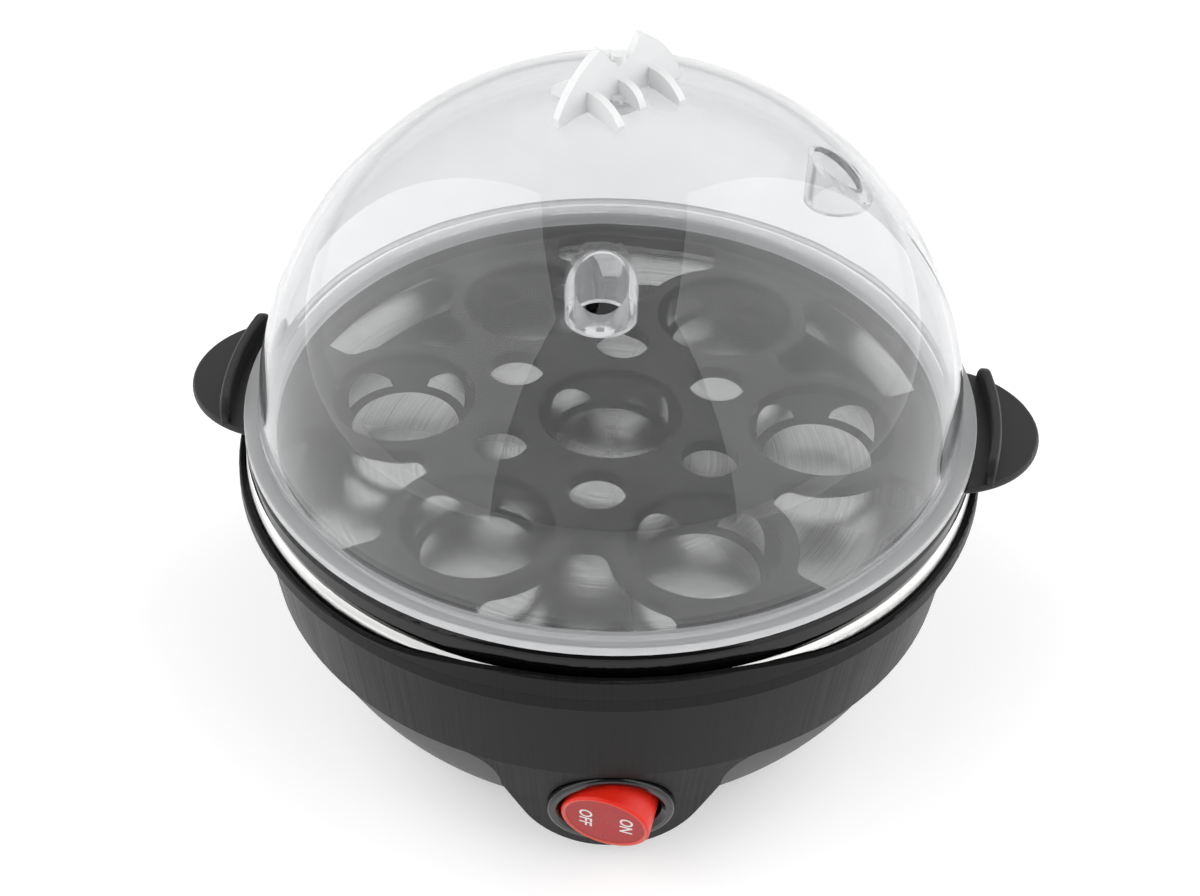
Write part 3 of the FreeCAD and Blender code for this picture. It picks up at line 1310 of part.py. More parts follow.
def make_tray():
    skirt_in = f"({TRAY_SKIRT} - Size.tray_wall)"
    roof = "(Size.tray_rim_top - Size.tray_wall)"
    slope = "Size.tray_rim_slope / (Size.tray_rim_top - Size.tray_top)"
    rim = turned("tray_rim", (
        ("0", TRAY_UNDER),
        (RIB_INNER, TRAY_UNDER),
        (RIB_INNER, "Size.rib_bottom"),
        (RIB_OUTER, "Size.rib_bottom"),
        (RIB_OUTER, TRAY_UNDER),
        (f"{TRAY_PLATE} + Size.tray_wall - {slope} * Size.tray_plate", TRAY_UNDER),
        (f"{TRAY_RIM_INNER} + Size.tray_wall - {slope} * Size.tray_wall", roof),
        (skirt_in, roof),
        (skirt_in, "Size.tray_skirt_bottom"),
        (TRAY_SKIRT, "Size.tray_skirt_bottom"),
        (TRAY_RIM, "Size.tray_top"),
        (TRAY_RIM, "Size.tray_rim_top"),
        (TRAY_RIM_INNER, "Size.tray_rim_top"),
        (TRAY_PLATE, "Size.tray_top"),
        ("0", "Size.tray_top"),
    ))
    round_off(rim, "Size.tray_rim_round", ring_at(TRAY_RIM, "Size.tray_rim_top"))
    low = "(Size.tray_top - Size.turned_depth)"
    wall_top = f"{TRAY_UNDER} + Size.tray_plate / 4"
    cups = []
    solid = [rim]
    open_ways = []
    for i, (x, y) in enumerate([("0", "0")] + [on_circle("Size.cup_pitch", a) for a in around(6)]):
        cups.append(cup(f"cup_{i}", x, y))
        open_ways.append(disc(f"cup_hole_{i}", "Size.cup_radius + Size.cup_wall / 2",
                              "Size.cup_bottom - 1", "Size.tray_top + 1", x, y))
    for i, angle in enumerate(around(6, 30)):
        x, y = on_circle("Size.vent_pitch", angle)
        solid.append(disc(f"vent_wall_{i}", "Size.vent_radius + Size.vent_wall", low,
                          wall_top, x, y))
        open_ways.append(disc(f"vent_{i}", "Size.vent_radius", low + " - 1",
                              "Size.tray_top + 1", x, y))
    for i, angle in enumerate(around(6)):
        solid.append(bell(f"bell_wall_{i}", "Size.bell_wall", low, wall_top, angle))
        open_ways.append(bell(f"bell_{i}", "0", low + " - 1", "Size.tray_top + 1", angle))
    plate = cut("tray_plate", fuse("tray_solid", *solid), *open_ways)
    smooth = soften("tray_smooth", plate, "Size.opening_round", lip_of_opening)
    ears = [ear("ear_right", 0), ear("ear_left", 180)]
    tray = rename(fuse("tray_joined", smooth, *cups, *ears), "egg_tray")
    return place(tray, angle="Size.tray_turn")


def make_lid():
    """The clear dome with its flange, its skirt and its two upright steam tubes."""
    skirt_in = f"({LID_SKIRT} - Size.lid_skirt_wall)"
    skirt_under = f"({FLANGE_BOTTOM} - Size.lid_skirt_depth)"
    shell = turned("dome_shell", (
        ("0", DOME_TOP),
        ("0", f"{DOME_TOP} - Size.dome_wall", DOME_INSIDE, CW),
        (level_radius(DOME_INSIDE, FLANGE_TOP), FLANGE_TOP),
        (skirt_in, FLANGE_BOTTOM),
        (skirt_in, skirt_under),
        (LID_SKIRT, skirt_under),
        (LID_SKIRT, FLANGE_BOTTOM),
        (FLANGE_RADIUS, FLANGE_BOTTOM),
        (FLANGE_RADIUS, FLANGE_TOP),
        (level_radius(DOME_RADIUS, FLANGE_TOP), FLANGE_TOP, DOME_RADIUS, CCW),
    ))
    round_off(shell, "Size.flange_round", ring_at(FLANGE_RADIUS, FLANGE_TOP))
    tube_reach = "(Size.tube_pitch + Size.tube_radius)"
    tube_bottom = (f"({DOME_CENTRE} + sqrt(pow({DOME_INSIDE}; 2) - pow({tube_reach}; 2))"
                   " - Size.tube_drop)")
    tubes = []
    bores = []
    for i, angle in enumerate((-90, 0)):
        x, y = on_circle("Size.tube_pitch", angle)
        tubes.append(disc(f"steam_tube_{i}", "Size.tube_radius", tube_bottom, DOME_TOP, x, y))
        bore = turned(f"steam_bore_{i}", (
            ("0", f"{tube_bottom} - 1"),
            ("Size.tube_end_bore", f"{tube_bottom} - 1"),
            ("Size.tube_top_bore", DOME_TOP),
            ("0", DOME_TOP),
        ))
        bores.append(place(bore, x, y))
    tubes = common("steam_tubes", fuse("steam_tube_set", *tubes), ball("dome_ball", "0"))
    hole = disc("stub_hole", "Size.stub_radius + Size.thread_gap",
                f"{DOME_TOP} - Size.dome_wall - 1", f"{DOME_TOP} + 1")
    joined = fuse("dome_joined", shell, tubes)
    dome = rename(cut("dome_cut", joined, hole, *bores), "lid_dome")
    return place(dome, angle="Size.lid_turn")


def ball(name, outward):
    """The upper half of the dome's ball, grown by a gap."""
    radius = f"({DOME_RADIUS} + {outward})"
    return turned(name, (
        ("0", DOME_CENTRE),
        (radius, DOME_CENTRE, radius, CCW),
        ("0", f"{DOME_CENTRE} + {radius}"),
    ))


def level_radius(radius, height):
    """The radius of the dome's sphere, or its inside, at a height."""
    return f"sqrt(pow({radius}; 2) - pow({height} - {DOME_CENTRE}; 2))"


def make_handle():
    """The lid's handle: a tall horned plate and three low plates across it."""
    def up(height):
        return f"({HANDLE_BASE} + ({height}))"

    plate = padded("handle_plate", "XZ_Plane", (
        ("-Size.handle_half", up("-Size.handle_foot")),
        ("Size.handle_half", up("-Size.handle_foot")),
        ("Size.handle_half", up("Size.handle_foot"), "Size.handle_curve", CCW),
        ("Size.horn_outer", up("Size.horn_height"), "Size.horn_round", CCW),
        ("Size.horn_inner", up("Size.horn_height - Size.horn_step")),
        ("Size.dip_half", up("Size.dip_height"), "Size.dip_curve", CW),
        ("-Size.dip_half", up("Size.dip_height")),
        ("-Size.horn_inner", up("Size.horn_height - Size.horn_step"), "Size.horn_round", CCW),
        ("-Size.horn_outer", up("Size.horn_height"), "Size.handle_curve", CCW),
        ("-Size.handle_half", up("Size.handle_foot")),
    ), "Size.handle_plate", midplane=True)
    pieces = [plate]
    fall = "(Size.cross_height - Size.cross_tip)"
    for i, (shift, half) in enumerate((("-Size.cross_offset", "Size.cross_half"),
                                       ("0", "Size.cross_middle_half"),
                                       ("Size.cross_offset", "Size.cross_half"))):
        bulge = f"((pow({half} - Size.cross_flat; 2) + pow({fall}; 2)) / (2 * {fall}))"
        cross = padded(f"handle_cross_{i}", "YZ_Plane", (
            ("-" + half, up("-Size.handle_foot")),
            (half, up("-Size.handle_foot")),
            (half, up("Size.cross_tip"), bulge, CCW),
            ("Size.cross_flat", up("Size.cross_height")),
            ("-Size.cross_flat", up("Size.cross_height"), bulge, CCW),
            ("-" + half, up("Size.cross_tip")),
        ), "Size.cross_plate", midplane=True)
        pieces.append(place(cross, x=shift))
    pieces.append(disc("handle_nub", "Size.nub_radius", up("Size.dip_height - Size.nub_radius"),
                       up("Size.nub_height")))
    plates = cut("handle_plates", fuse("handle_set", *pieces),
                 ball("handle_seat", "Size.handle_gap"))
    head_top = (f"({DOME_CENTRE} + sqrt(pow({DOME_INSIDE}; 2) - pow(Size.stub_head_radius; 2))"
                " - Size.handle_gap)")
    stub = disc("handle_stub", "Size.stub_radius", f"{head_top} - Size.stub_head_height / 2",
                f"{DOME_TOP} + 1")
    head = disc("handle_stub_head", "Size.stub_head_radius",
                f"{head_top} - Size.stub_head_height", head_top)
    handle = rename(fuse("handle_joined", plates, stub, head), "lid_handle")
    return place(handle, angle="Size.lid_turn + Size.handle_turn")


def rounded_route(points, bend):
    """Straight runs through the points, joined by tangent arcs."""
    edges = []
    start = points[0]
    for before, corner, after in zip(points, points[1:], points[2:]):
        back = (before - corner).normalize()
        ahead = (after - corner).normalize()
        half = back.getAngle(ahead) / 2
        run = min((before - corner).Length, (after - corner).Length) * 0.45
        setback = min(bend / math.tan(half), run)
        radius = setback * math.tan(half)
        first = corner + back * setback
        last = corner + ahead * setback
        middle_way = (back + ahead).normalize()
        middle = corner + middle_way * (radius / math.sin(half) - radius)
        edges.append(Part.LineSegment(start, first).toShape())
        edges.append(Part.Arc(first, middle, last).toShape())
        start = last
    edges.append(Part.LineSegment(start, points[-1]).toShape())
    return Part.Wire(edges)


def make_leads():
    """The leads held inside the base, each from one terminal to the next."""
    bend = number("Size.lead_bend")
    radius = number("Size.lead_radius")
    tilt = math.radians(number("Size.chin_tilt"))
    outward = Vector(0, -math.cos(tilt), -math.sin(tilt))
    seat = Vector(0, number(SWITCH_Y), number(SWITCH_Z))
    back = number("Size.switch_depth + Size.terminal_length")
    pitch = number("Size.terminal_pitch")
    blade_l, blade_m, blade_r = [seat - outward * back + Vector(x, 0, 0)
                                 for x in (-pitch, 0, pitch)]
    inward = outward * -10
    block_z = number(f"{BLOCK_BOTTOM} + Size.way_floor + Size.way_width / 2")
    front = number(f"Size.block_y - {CONNECTOR_LENGTH} / 2")
    way_l = Vector(number("Size.block_x - Size.way_pitch"), front, block_z)
    way_r = Vector(number("Size.block_x + Size.way_pitch"), front, block_z)
    out = Vector(0, -9, 0)
    over, under = Vector(0, 0, 1.6), Vector(0, 0, -1.6)
    down = Vector(0, 0, -9)
    stat_z = number(f"{PLATE_UNDER} - Size.thermostat_height - Size.blade_length")
    stat_l = Vector(number("-Size.blade_offset"), number("-Size.thermostat_offset"), stat_z)
    stat_r = Vector(number("Size.blade_offset"), number("-Size.thermostat_offset"), stat_z)
    fuse_z = number(FUSE_HEIGHT)
    fuse_end = Vector(number("Size.fuse_length / 2 + Size.fuse_lead_length"),
                      number("Size.fuse_offset"), fuse_z)
    pin_l, pin_r = pin_end(-1), pin_end(1)
    routes = {
        "lead_block_to_switch": [
            way_r, way_r + out, Vector(36, -4, 14), Vector(20, -30, 22),
            blade_r + inward, blade_r],
        "lead_switch_to_thermostat": [
            blade_m, blade_m + inward, Vector(4, -28, 29), stat_r + down * 0.6, stat_r],
        "lead_thermostat_to_element": [
            stat_l, stat_l + down, Vector(-15, -6, 26), Vector(-20, 14, 25),
            pin_l + down, pin_l],
        "lead_lamp_to_block": [
            blade_l, blade_l + inward, Vector(-14, -26, 16), Vector(-8, 0, 9.5),
            way_l + out + over, way_l + over],
        "lead_element_to_fuse": [
            pin_r, pin_r + down, Vector(8, 36, 28), Vector(-24, 26, 36),
            -fuse_end + Vector(-8, 2 * fuse_end.y, 2 * fuse_z),
            -fuse_end + Vector(0, 2 * fuse_end.y, 2 * fuse_z)],
        "lead_fuse_to_block": [
            fuse_end, fuse_end + Vector(8, 0, 0), Vector(24, 14, 30),
            way_l + out + under + Vector(0, -4, 0), way_l + under],
    }
    leads = [swept(name, rounded_route(points, bend), radius)
             for name, points in routes.items()]
    return leads


PARTS = [
    make_upper_housing(),
    make_base_cover(),
    *make_feet(),
    make_base_screws(),
    make_gland(),
    make_pan(),
    make_seal(),
    make_heat_plate(),
    make_element(),
    *make_bridge(),
    *make_thermostat(),
    *make_thermal_fuse(),
    *make_block(),
    *make_switch(),
    make_rocker(),
    *make_leads(),
    make_tray(),
    make_lid(),
    make_handle(),
]

doc.recompute()

for thing in doc.Objects:
    if "Invalid" in thing.State or "Error" in thing.State:
        raise ValueError(f"{thing.Label} did not build: {thing.State}")
for part in PARTS:
    if part.Shape.isNull() or not part.Shape.isValid():
        raise ValueError(f"{part.Label} has no valid shape")

os.makedirs("parts", exist_ok=True)
for part in PARTS:
    part.Shape.exportStep(f"parts/{part.Label}.step")
    solids = len(part.Shape.Solids)
    print(f"{part.Label}: {solids} solid(s), {part.Shape.Volume / 1000:.2f} cm3")
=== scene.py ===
"""Looks, small details, set and camera for the electric egg cooker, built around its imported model."""

import json
import logging
import math
from dataclasses import dataclass, field
from enum import Enum
from typing import Any, Iterable

import bmesh
import bpy
from mathutils import Matrix, Vector


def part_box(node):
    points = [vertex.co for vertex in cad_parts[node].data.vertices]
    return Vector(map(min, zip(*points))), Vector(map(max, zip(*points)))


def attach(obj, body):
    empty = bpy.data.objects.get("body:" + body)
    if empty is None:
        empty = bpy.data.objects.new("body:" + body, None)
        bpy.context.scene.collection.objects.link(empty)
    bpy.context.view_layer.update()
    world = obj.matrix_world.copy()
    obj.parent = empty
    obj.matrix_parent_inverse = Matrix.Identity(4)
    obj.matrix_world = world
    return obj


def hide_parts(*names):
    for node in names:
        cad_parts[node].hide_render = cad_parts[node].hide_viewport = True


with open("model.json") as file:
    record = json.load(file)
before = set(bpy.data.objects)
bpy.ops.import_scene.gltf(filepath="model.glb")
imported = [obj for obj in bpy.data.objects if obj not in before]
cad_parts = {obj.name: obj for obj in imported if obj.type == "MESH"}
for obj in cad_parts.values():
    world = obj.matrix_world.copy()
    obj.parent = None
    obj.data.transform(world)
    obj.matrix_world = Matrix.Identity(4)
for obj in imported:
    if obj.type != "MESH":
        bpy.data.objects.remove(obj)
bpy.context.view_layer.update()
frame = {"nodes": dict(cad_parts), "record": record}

LOG = logging.getLogger("egg_cooker")
MM = 0.001
Colour = tuple[float, float, float, float]


def grey(value: float) -> Colour:
    """A neutral colour of this linear value."""
    return (value, value, value, 1.0)


class Graph:
    """A node tree that is filled one node at a time."""

    def __init__(self, tree: bpy.types.NodeTree) -> None:
        """Keeps the tree that the nodes go into."""
        self.tree = tree

    def add(self, kind: str, inputs: dict[Any, Any] | None = None, **settings: Any) -> bpy.types.Node:
        """Adds a node.

        Args:
            kind: the node's type name in Blender.
            inputs: a value, or the socket that feeds it, for each input by name or index.
            **settings: the node's own properties.

        Returns:
            The new node.
        """
        node = self.tree.nodes.new(kind)
        for name, value in settings.items():
            setattr(node, name, value)
        for socket, value in (inputs or {}).items():
            if isinstance(value, bpy.types.NodeSocket):
                self.tree.links.new(value, node.inputs[socket])
            else:
                node.inputs[socket].default_value = value
        return node

    def link(self, source: bpy.types.NodeSocket, target: bpy.types.NodeSocket) -> None:
        """Joins an output to an input."""
        self.tree.links.new(source, target)

    def math(self, operation: str, *values: Any) -> bpy.types.NodeSocket:
        """A Math node.

        Args:
            operation: what it does, such as MULTIPLY.
            *values: numbers or the sockets that feed them, in order.

        Returns:
            The node's output socket.
        """
        node = self.add("ShaderNodeMath", dict(enumerate(values)), operation=operation)
        return node.outputs[0]

    def ramp(self, value: Any, low: float, high: float, out_low: float, out_high: float) -> bpy.types.NodeSocket:
        """Maps a value smoothly from one range to another.

        Args:
            value: the socket to map.
            low: where the map starts.
            high: where it ends.
            out_low: what it gives at the start.
            out_high: what it gives at the end.

        Returns:
            The mapped value's socket.
        """
        node = self.add(
            "ShaderNodeMapRange",
            {"Value": value, "From Min": low, "From Max": high, "To Min": out_low, "To Max": out_high},
            interpolation_type="SMOOTHSTEP",
        )
        return node.outputs["Result"]

    def blend(self, factor: Any, first: Colour, second: Colour) -> bpy.types.NodeSocket:
        """Mixes two colours.

        Args:
            factor: how much of the second one.
            first: the colour at 0.
            second: the colour at 1.

        Returns:
            The mixed colour's socket.
        """
        node = self.add("ShaderNodeMix", data_type="RGBA")
        for socket, value in (("Factor_Float", factor), ("A_Color", first), ("B_Color", second)):
            target = next(s for s in node.inputs if s.identifier == socket)
            if isinstance(value, bpy.types.NodeSocket):
                self.link(value, target)
            else:
                target.default_value = value
        return next(s for s in node.outputs if s.identifier == "Result_Color")


class Effect(Enum):
    """The shader effects that more than one finish uses."""

    GRAIN = "moulded_grain"
    DRAWN = "drawn_streaks"
    TURNED = "turned_rings"
    DUST = "settled_dust"
    MILK = "milky_places"


@dataclass
class EffectLibrary:
    """Builds each shared shader effect once, as a node group."""

    made: dict[Effect, bpy.types.NodeTree] = field(default_factory=dict)

    def group(self, effect: Effect) -> bpy.types.NodeTree:
        """The node group of one effect, built the first time that it is asked for."""
        if effect not in self.made:
            maker = {
                Effect.GRAIN: self._grain,
                Effect.DRAWN: self._drawn,
                Effect.TURNED: self._turned,
                Effect.DUST: self._dust,
                Effect.MILK: self._milk,
            }[effect]
            self.made[effect] = maker()
        return self.made[effect]

    def _start(self, effect: Effect, inputs: dict[str, float], outputs: Iterable[str]) -> tuple[Graph, Any, Any]:
        """Starts a group with a vector input and the named numbers.

        Args:
            effect: which effect it is.
            inputs: each number's name and default.
            outputs: the names of the values that it puts out.

        Returns:
            The graph, the group's input node and its output node.
        """
        tree = bpy.data.node_groups.new(effect.value, "ShaderNodeTree")
        tree.interface.new_socket("Vector", in_out="INPUT", socket_type="NodeSocketVector")
        for name, value in inputs.items():
            socket = tree.interface.new_socket(name, in_out="INPUT", socket_type="NodeSocketFloat")
            socket.default_value = value
        for name in outputs:
            tree.interface.new_socket(name, in_out="OUTPUT", socket_type="NodeSocketFloat")
        graph = Graph(tree)
        return graph, graph.add("NodeGroupInput"), graph.add("NodeGroupOutput")

    def _grain(self) -> bpy.types.NodeTree:
        """Fine leather-like grain of a moulded plastic, with slow variation under it."""
        graph, given, result = self._start(Effect.GRAIN, {"Scale": 2500.0, "Cloud": 45.0}, ("Height", "Cloud"))
        fine = graph.add(
            "ShaderNodeTexNoise",
            {"Vector": given.outputs["Vector"], "Scale": given.outputs["Scale"], "Detail": 3.0, "Roughness": 0.6},
        )
        cloud = graph.add(
            "ShaderNodeTexNoise",
            {"Vector": given.outputs["Vector"], "Scale": given.outputs["Cloud"], "Detail": 4.0, "Roughness": 0.55},
        )
        graph.link(fine.outputs["Fac"], result.inputs["Height"])
        graph.link(graph.ramp(cloud.outputs["Fac"], 0.3, 0.7, 0.0, 1.0), result.inputs["Cloud"])
        return graph.tree

    @staticmethod
    def _round(graph: Graph, place: bpy.types.NodeSocket) -> tuple[Any, Any, Any, Any]:
        """Splits a place into what runs round the vertical axis, without a seam.

        Args:
            graph: the group's graph.
            place: the coordinates.

        Returns:
            The radius, the heading's two parts and the height.
        """
        parts = graph.add("ShaderNodeSeparateXYZ", {0: place})
        x, y = parts.outputs["X"], parts.outputs["Y"]
        squares = graph.math("ADD", graph.math("MULTIPLY", x, x), graph.math("MULTIPLY", y, y))
        radius = graph.math("MAXIMUM", graph.math("SQRT", squares), 1e-5)
        return radius, graph.math("DIVIDE", x, radius), graph.math("DIVIDE", y, radius), parts.outputs["Z"]

    def _drawn(self) -> bpy.types.NodeTree:
        """Streaks that run up and down a round wall, as drawing or brushing leaves them."""
        graph, given, result = self._start(Effect.DRAWN, {"Across": 160.0, "Along": 12.0}, ("Streak",))
        _, east, north, height = self._round(graph, given.outputs["Vector"])
        across, along = given.outputs["Across"], given.outputs["Along"]
        place = graph.add("ShaderNodeCombineXYZ", {
            "X": graph.math("MULTIPLY", east, across),
            "Y": graph.math("MULTIPLY", north, across),
            "Z": graph.math("MULTIPLY", height, along),
        })
        noise = graph.add(
            "ShaderNodeTexNoise",
            {"Vector": place.outputs[0], "Scale": 1.0, "Detail": 5.0, "Roughness": 0.7},
        )
        graph.link(graph.ramp(noise.outputs["Fac"], 0.3, 0.7, 0.0, 1.0), result.inputs["Streak"])
        return graph.tree

    def _turned(self) -> bpy.types.NodeTree:
        """Fine rings about the vertical axis, and the broad fan of light that spinning leaves."""
        graph, given, result = self._start(Effect.TURNED, {"Across": 4200.0, "Along": 1.5}, ("Ring", "Fan"))
        radius, east, north, height = self._round(graph, given.outputs["Vector"])
        reach = graph.math("MULTIPLY", graph.math("ADD", radius, height), given.outputs["Across"])
        along = given.outputs["Along"]
        place = graph.add("ShaderNodeCombineXYZ", {
            "X": reach, "Y": graph.math("MULTIPLY", east, along), "Z": graph.math("MULTIPLY", north, along),
        })
        noise = graph.add(
            "ShaderNodeTexNoise",
            {"Vector": place.outputs[0], "Scale": 1.0, "Detail": 4.0, "Roughness": 0.65},
        )
        heading = graph.add("ShaderNodeCombineXYZ", {"X": east, "Y": north})
        fan = graph.add("ShaderNodeTexNoise", {"Vector": heading.outputs[0], "Scale": 1.7, "Detail": 1.0})
        graph.link(graph.ramp(noise.outputs["Fac"], 0.28, 0.72, 0.0, 1.0), result.inputs["Ring"])
        graph.link(graph.ramp(fan.outputs["Fac"], 0.38, 0.62, 0.0, 1.0), result.inputs["Fan"])
        return graph.tree

    def _milk(self) -> bpy.types.NodeTree:
        """Where the clear plastic gets a painted glow, standing for the light caught in its thick places: a flange
        below a height, and round two upright tubes.
        """
        numbers = {"Flange": 0.0776, "Pitch": 0.0458, "Tube": 0.0069, "Turn": 0.0}
        graph, given, result = self._start(Effect.MILK, numbers, ("Flange", "Tube"))
        parts = graph.add("ShaderNodeSeparateXYZ", {0: given.outputs["Vector"]})
        x, y, z = (parts.outputs[axis] for axis in "XYZ")
        low = graph.math("LESS_THAN", z, graph.math("ADD", given.outputs["Flange"], 0.0001))
        turn, pitch = given.outputs["Turn"], given.outputs["Pitch"]
        east = graph.math("MULTIPLY", graph.math("COSINE", turn), pitch)
        north = graph.math("MULTIPLY", graph.math("SINE", turn), pitch)
        nearest: Any = None
        for tube_x, tube_y in ((east, north), (north, graph.math("MULTIPLY", east, -1.0))):
            across, along = graph.math("SUBTRACT", x, tube_x), graph.math("SUBTRACT", y, tube_y)
            squares = graph.math("ADD", graph.math("MULTIPLY", across, across), graph.math("MULTIPLY", along, along))
            away = graph.math("SQRT", squares)
            nearest = away if nearest is None else graph.math("MINIMUM", nearest, away)
        inside = graph.math("LESS_THAN", nearest, graph.math("ADD", given.outputs["Tube"], 0.0002))
        graph.link(low, result.inputs["Flange"])
        graph.link(inside, result.inputs["Tube"])
        return graph.tree

    def _dust(self) -> bpy.types.NodeTree:
        """Sparse pale specks of dust."""
        graph, given, result = self._start(Effect.DUST, {"Scale": 900.0, "Amount": 0.05}, ("Speck",))
        cells = graph.add("ShaderNodeTexVoronoi", {"Vector": given.outputs["Vector"], "Scale": given.outputs["Scale"]})
        near = graph.math("LESS_THAN", cells.outputs["Distance"], given.outputs["Amount"])
        graph.link(near, result.inputs["Speck"])
        return graph.tree


EFFECTS = EffectLibrary()
FINISHED: dict[str, bpy.types.Material] = {}


@dataclass(frozen=True)
class Finish:
    """What every finish has: the record's slot that it dresses."""

    slot: str

    def material(self) -> bpy.types.Material:
        """The finish's material, made the first time that it is asked for."""
        if self.slot in FINISHED:
            return FINISHED[self.slot]
        made = FINISHED[self.slot] = bpy.data.materials.new(self.slot)
        made.use_nodes = True
        made.node_tree.nodes.clear()
        graph = Graph(made.node_tree)
        place = graph.add("ShaderNodeTexCoord").outputs["Object"]
        out = graph.add("ShaderNodeOutputMaterial")
        graph.link(self.surface(graph, place), out.inputs["Surface"])
        return made

    def surface(self, graph: Graph, place: bpy.types.NodeSocket) -> bpy.types.NodeSocket:
        """The shader that the finish puts out."""
        raise NotImplementedError

    @staticmethod
    def effect(graph: Graph, effect: Effect, place: bpy.types.NodeSocket, **values: float) -> bpy.types.Node:
        """Places a shared effect in a material.

        Args:
            graph: the material's graph.
            effect: which effect it is.
            place: the coordinates that it reads.
            **values: the effect's own numbers, by name.

        Returns:
            The group node.
        """
        node = graph.add("ShaderNodeGroup", node_tree=EFFECTS.group(effect))
        graph.link(place, node.inputs["Vector"])
        for name, value in values.items():
            node.inputs[name].default_value = value
        return node


@dataclass(frozen=True)
class MouldedPlastic(Finish):
    """Opaque moulded plastic or rubber."""

    dark: float = 0.018
    light: float = 0.026
    smooth: float = 0.34
    rough: float = 0.46
    grain_scale: float = 2500.0
    grain_depth: float = 0.08
    streaks: float = 0.0
    specular: float = 0.5
    satin_past: float = 0.0
    satin: float = 0.02

    def surface(self, graph: Graph, place: bpy.types.NodeSocket) -> bpy.types.NodeSocket:
        """Grain and slow clouds, with streaks where the finish has them."""
        grain = self.effect(graph, Effect.GRAIN, place, Scale=self.grain_scale)
        mask = grain.outputs["Cloud"]
        height = grain.outputs["Height"]
        if self.streaks > 0.0:
            drawn = self.effect(graph, Effect.DRAWN, place)
            mask = graph.math("MULTIPLY_ADD", drawn.outputs["Streak"], self.streaks, graph.math("MULTIPLY", mask, 1.0 - self.streaks))
            height = graph.math("MULTIPLY_ADD", drawn.outputs["Streak"], self.streaks, graph.math("MULTIPLY", height, 0.4))
        dust = self.effect(graph, Effect.DUST, place)
        colour = graph.blend(mask, grey(self.dark), grey(self.light))
        dusty = graph.add("ShaderNodeMix", data_type="RGBA")
        graph.link(dust.outputs["Speck"], dusty.inputs[0])
        graph.link(colour, dusty.inputs[6])
        dusty.inputs[7].default_value = grey(self.light * 2.2)
        bump = graph.add("ShaderNodeBump", {"Height": height, "Strength": self.grain_depth, "Distance": 0.0004})
        body, roughness = dusty.outputs[2], graph.ramp(mask, 0.0, 1.0, self.smooth, self.rough)
        if self.satin_past > 0.0:
            flat = graph.add("ShaderNodeVectorMath", {0: place, 1: (1.0, 1.0, 0.0)}, operation="MULTIPLY")
            reach = graph.add("ShaderNodeVectorMath", {0: flat.outputs[0]}, operation="LENGTH").outputs["Value"]
            outside = graph.math("GREATER_THAN", reach, self.satin_past)
            body = graph.blend(outside, body, grey(self.satin))
            roughness = graph.math("MAXIMUM", roughness, graph.math("MULTIPLY", outside, 0.42))
        shader = graph.add(
            "ShaderNodeBsdfPrincipled",
            {
                "Base Color": body,
                "Roughness": roughness,
                "Normal": bump.outputs[0],
                "Specular IOR Level": self.specular,
            },
        )
        return shader.outputs[0]


@dataclass(frozen=True)
class TurnedMetal(Finish):
    """Metal with fine rings about the vertical axis."""

    colour: Colour = (0.62, 0.62, 0.61, 1.0)
    shade: float = 0.75
    smooth: float = 0.2
    rough: float = 0.34
    across: float = 4200.0
    depth: float = 0.12
    spun: float = 0.0

    def surface(self, graph: Graph, place: bpy.types.NodeSocket) -> bpy.types.NodeSocket:
        """Rings in colour, roughness and height."""
        turned = self.effect(graph, Effect.TURNED, place, Across=self.across)
        low = tuple(c * self.shade for c in self.colour[:3]) + (1.0,)
        bump = graph.add("ShaderNodeBump", {"Height": turned.outputs["Ring"], "Strength": self.depth, "Distance": 0.0002})
        shader = graph.add(
            "ShaderNodeBsdfPrincipled",
            {
                "Base Color": graph.blend(turned.outputs["Ring"], low, self.colour),
                "Metallic": 1.0,
                "Roughness": graph.ramp(turned.outputs["Fan"], 0.0, 1.0, self.smooth, self.rough),
                "Anisotropic": self.spun,
                "Normal": bump.outputs[0],
            },
        )
        if self.spun > 0.0:
            tangent = graph.add("ShaderNodeTangent", direction_type="RADIAL", axis="Z")
            graph.link(tangent.outputs[0], shader.inputs["Tangent"])
        return shader.outputs[0]


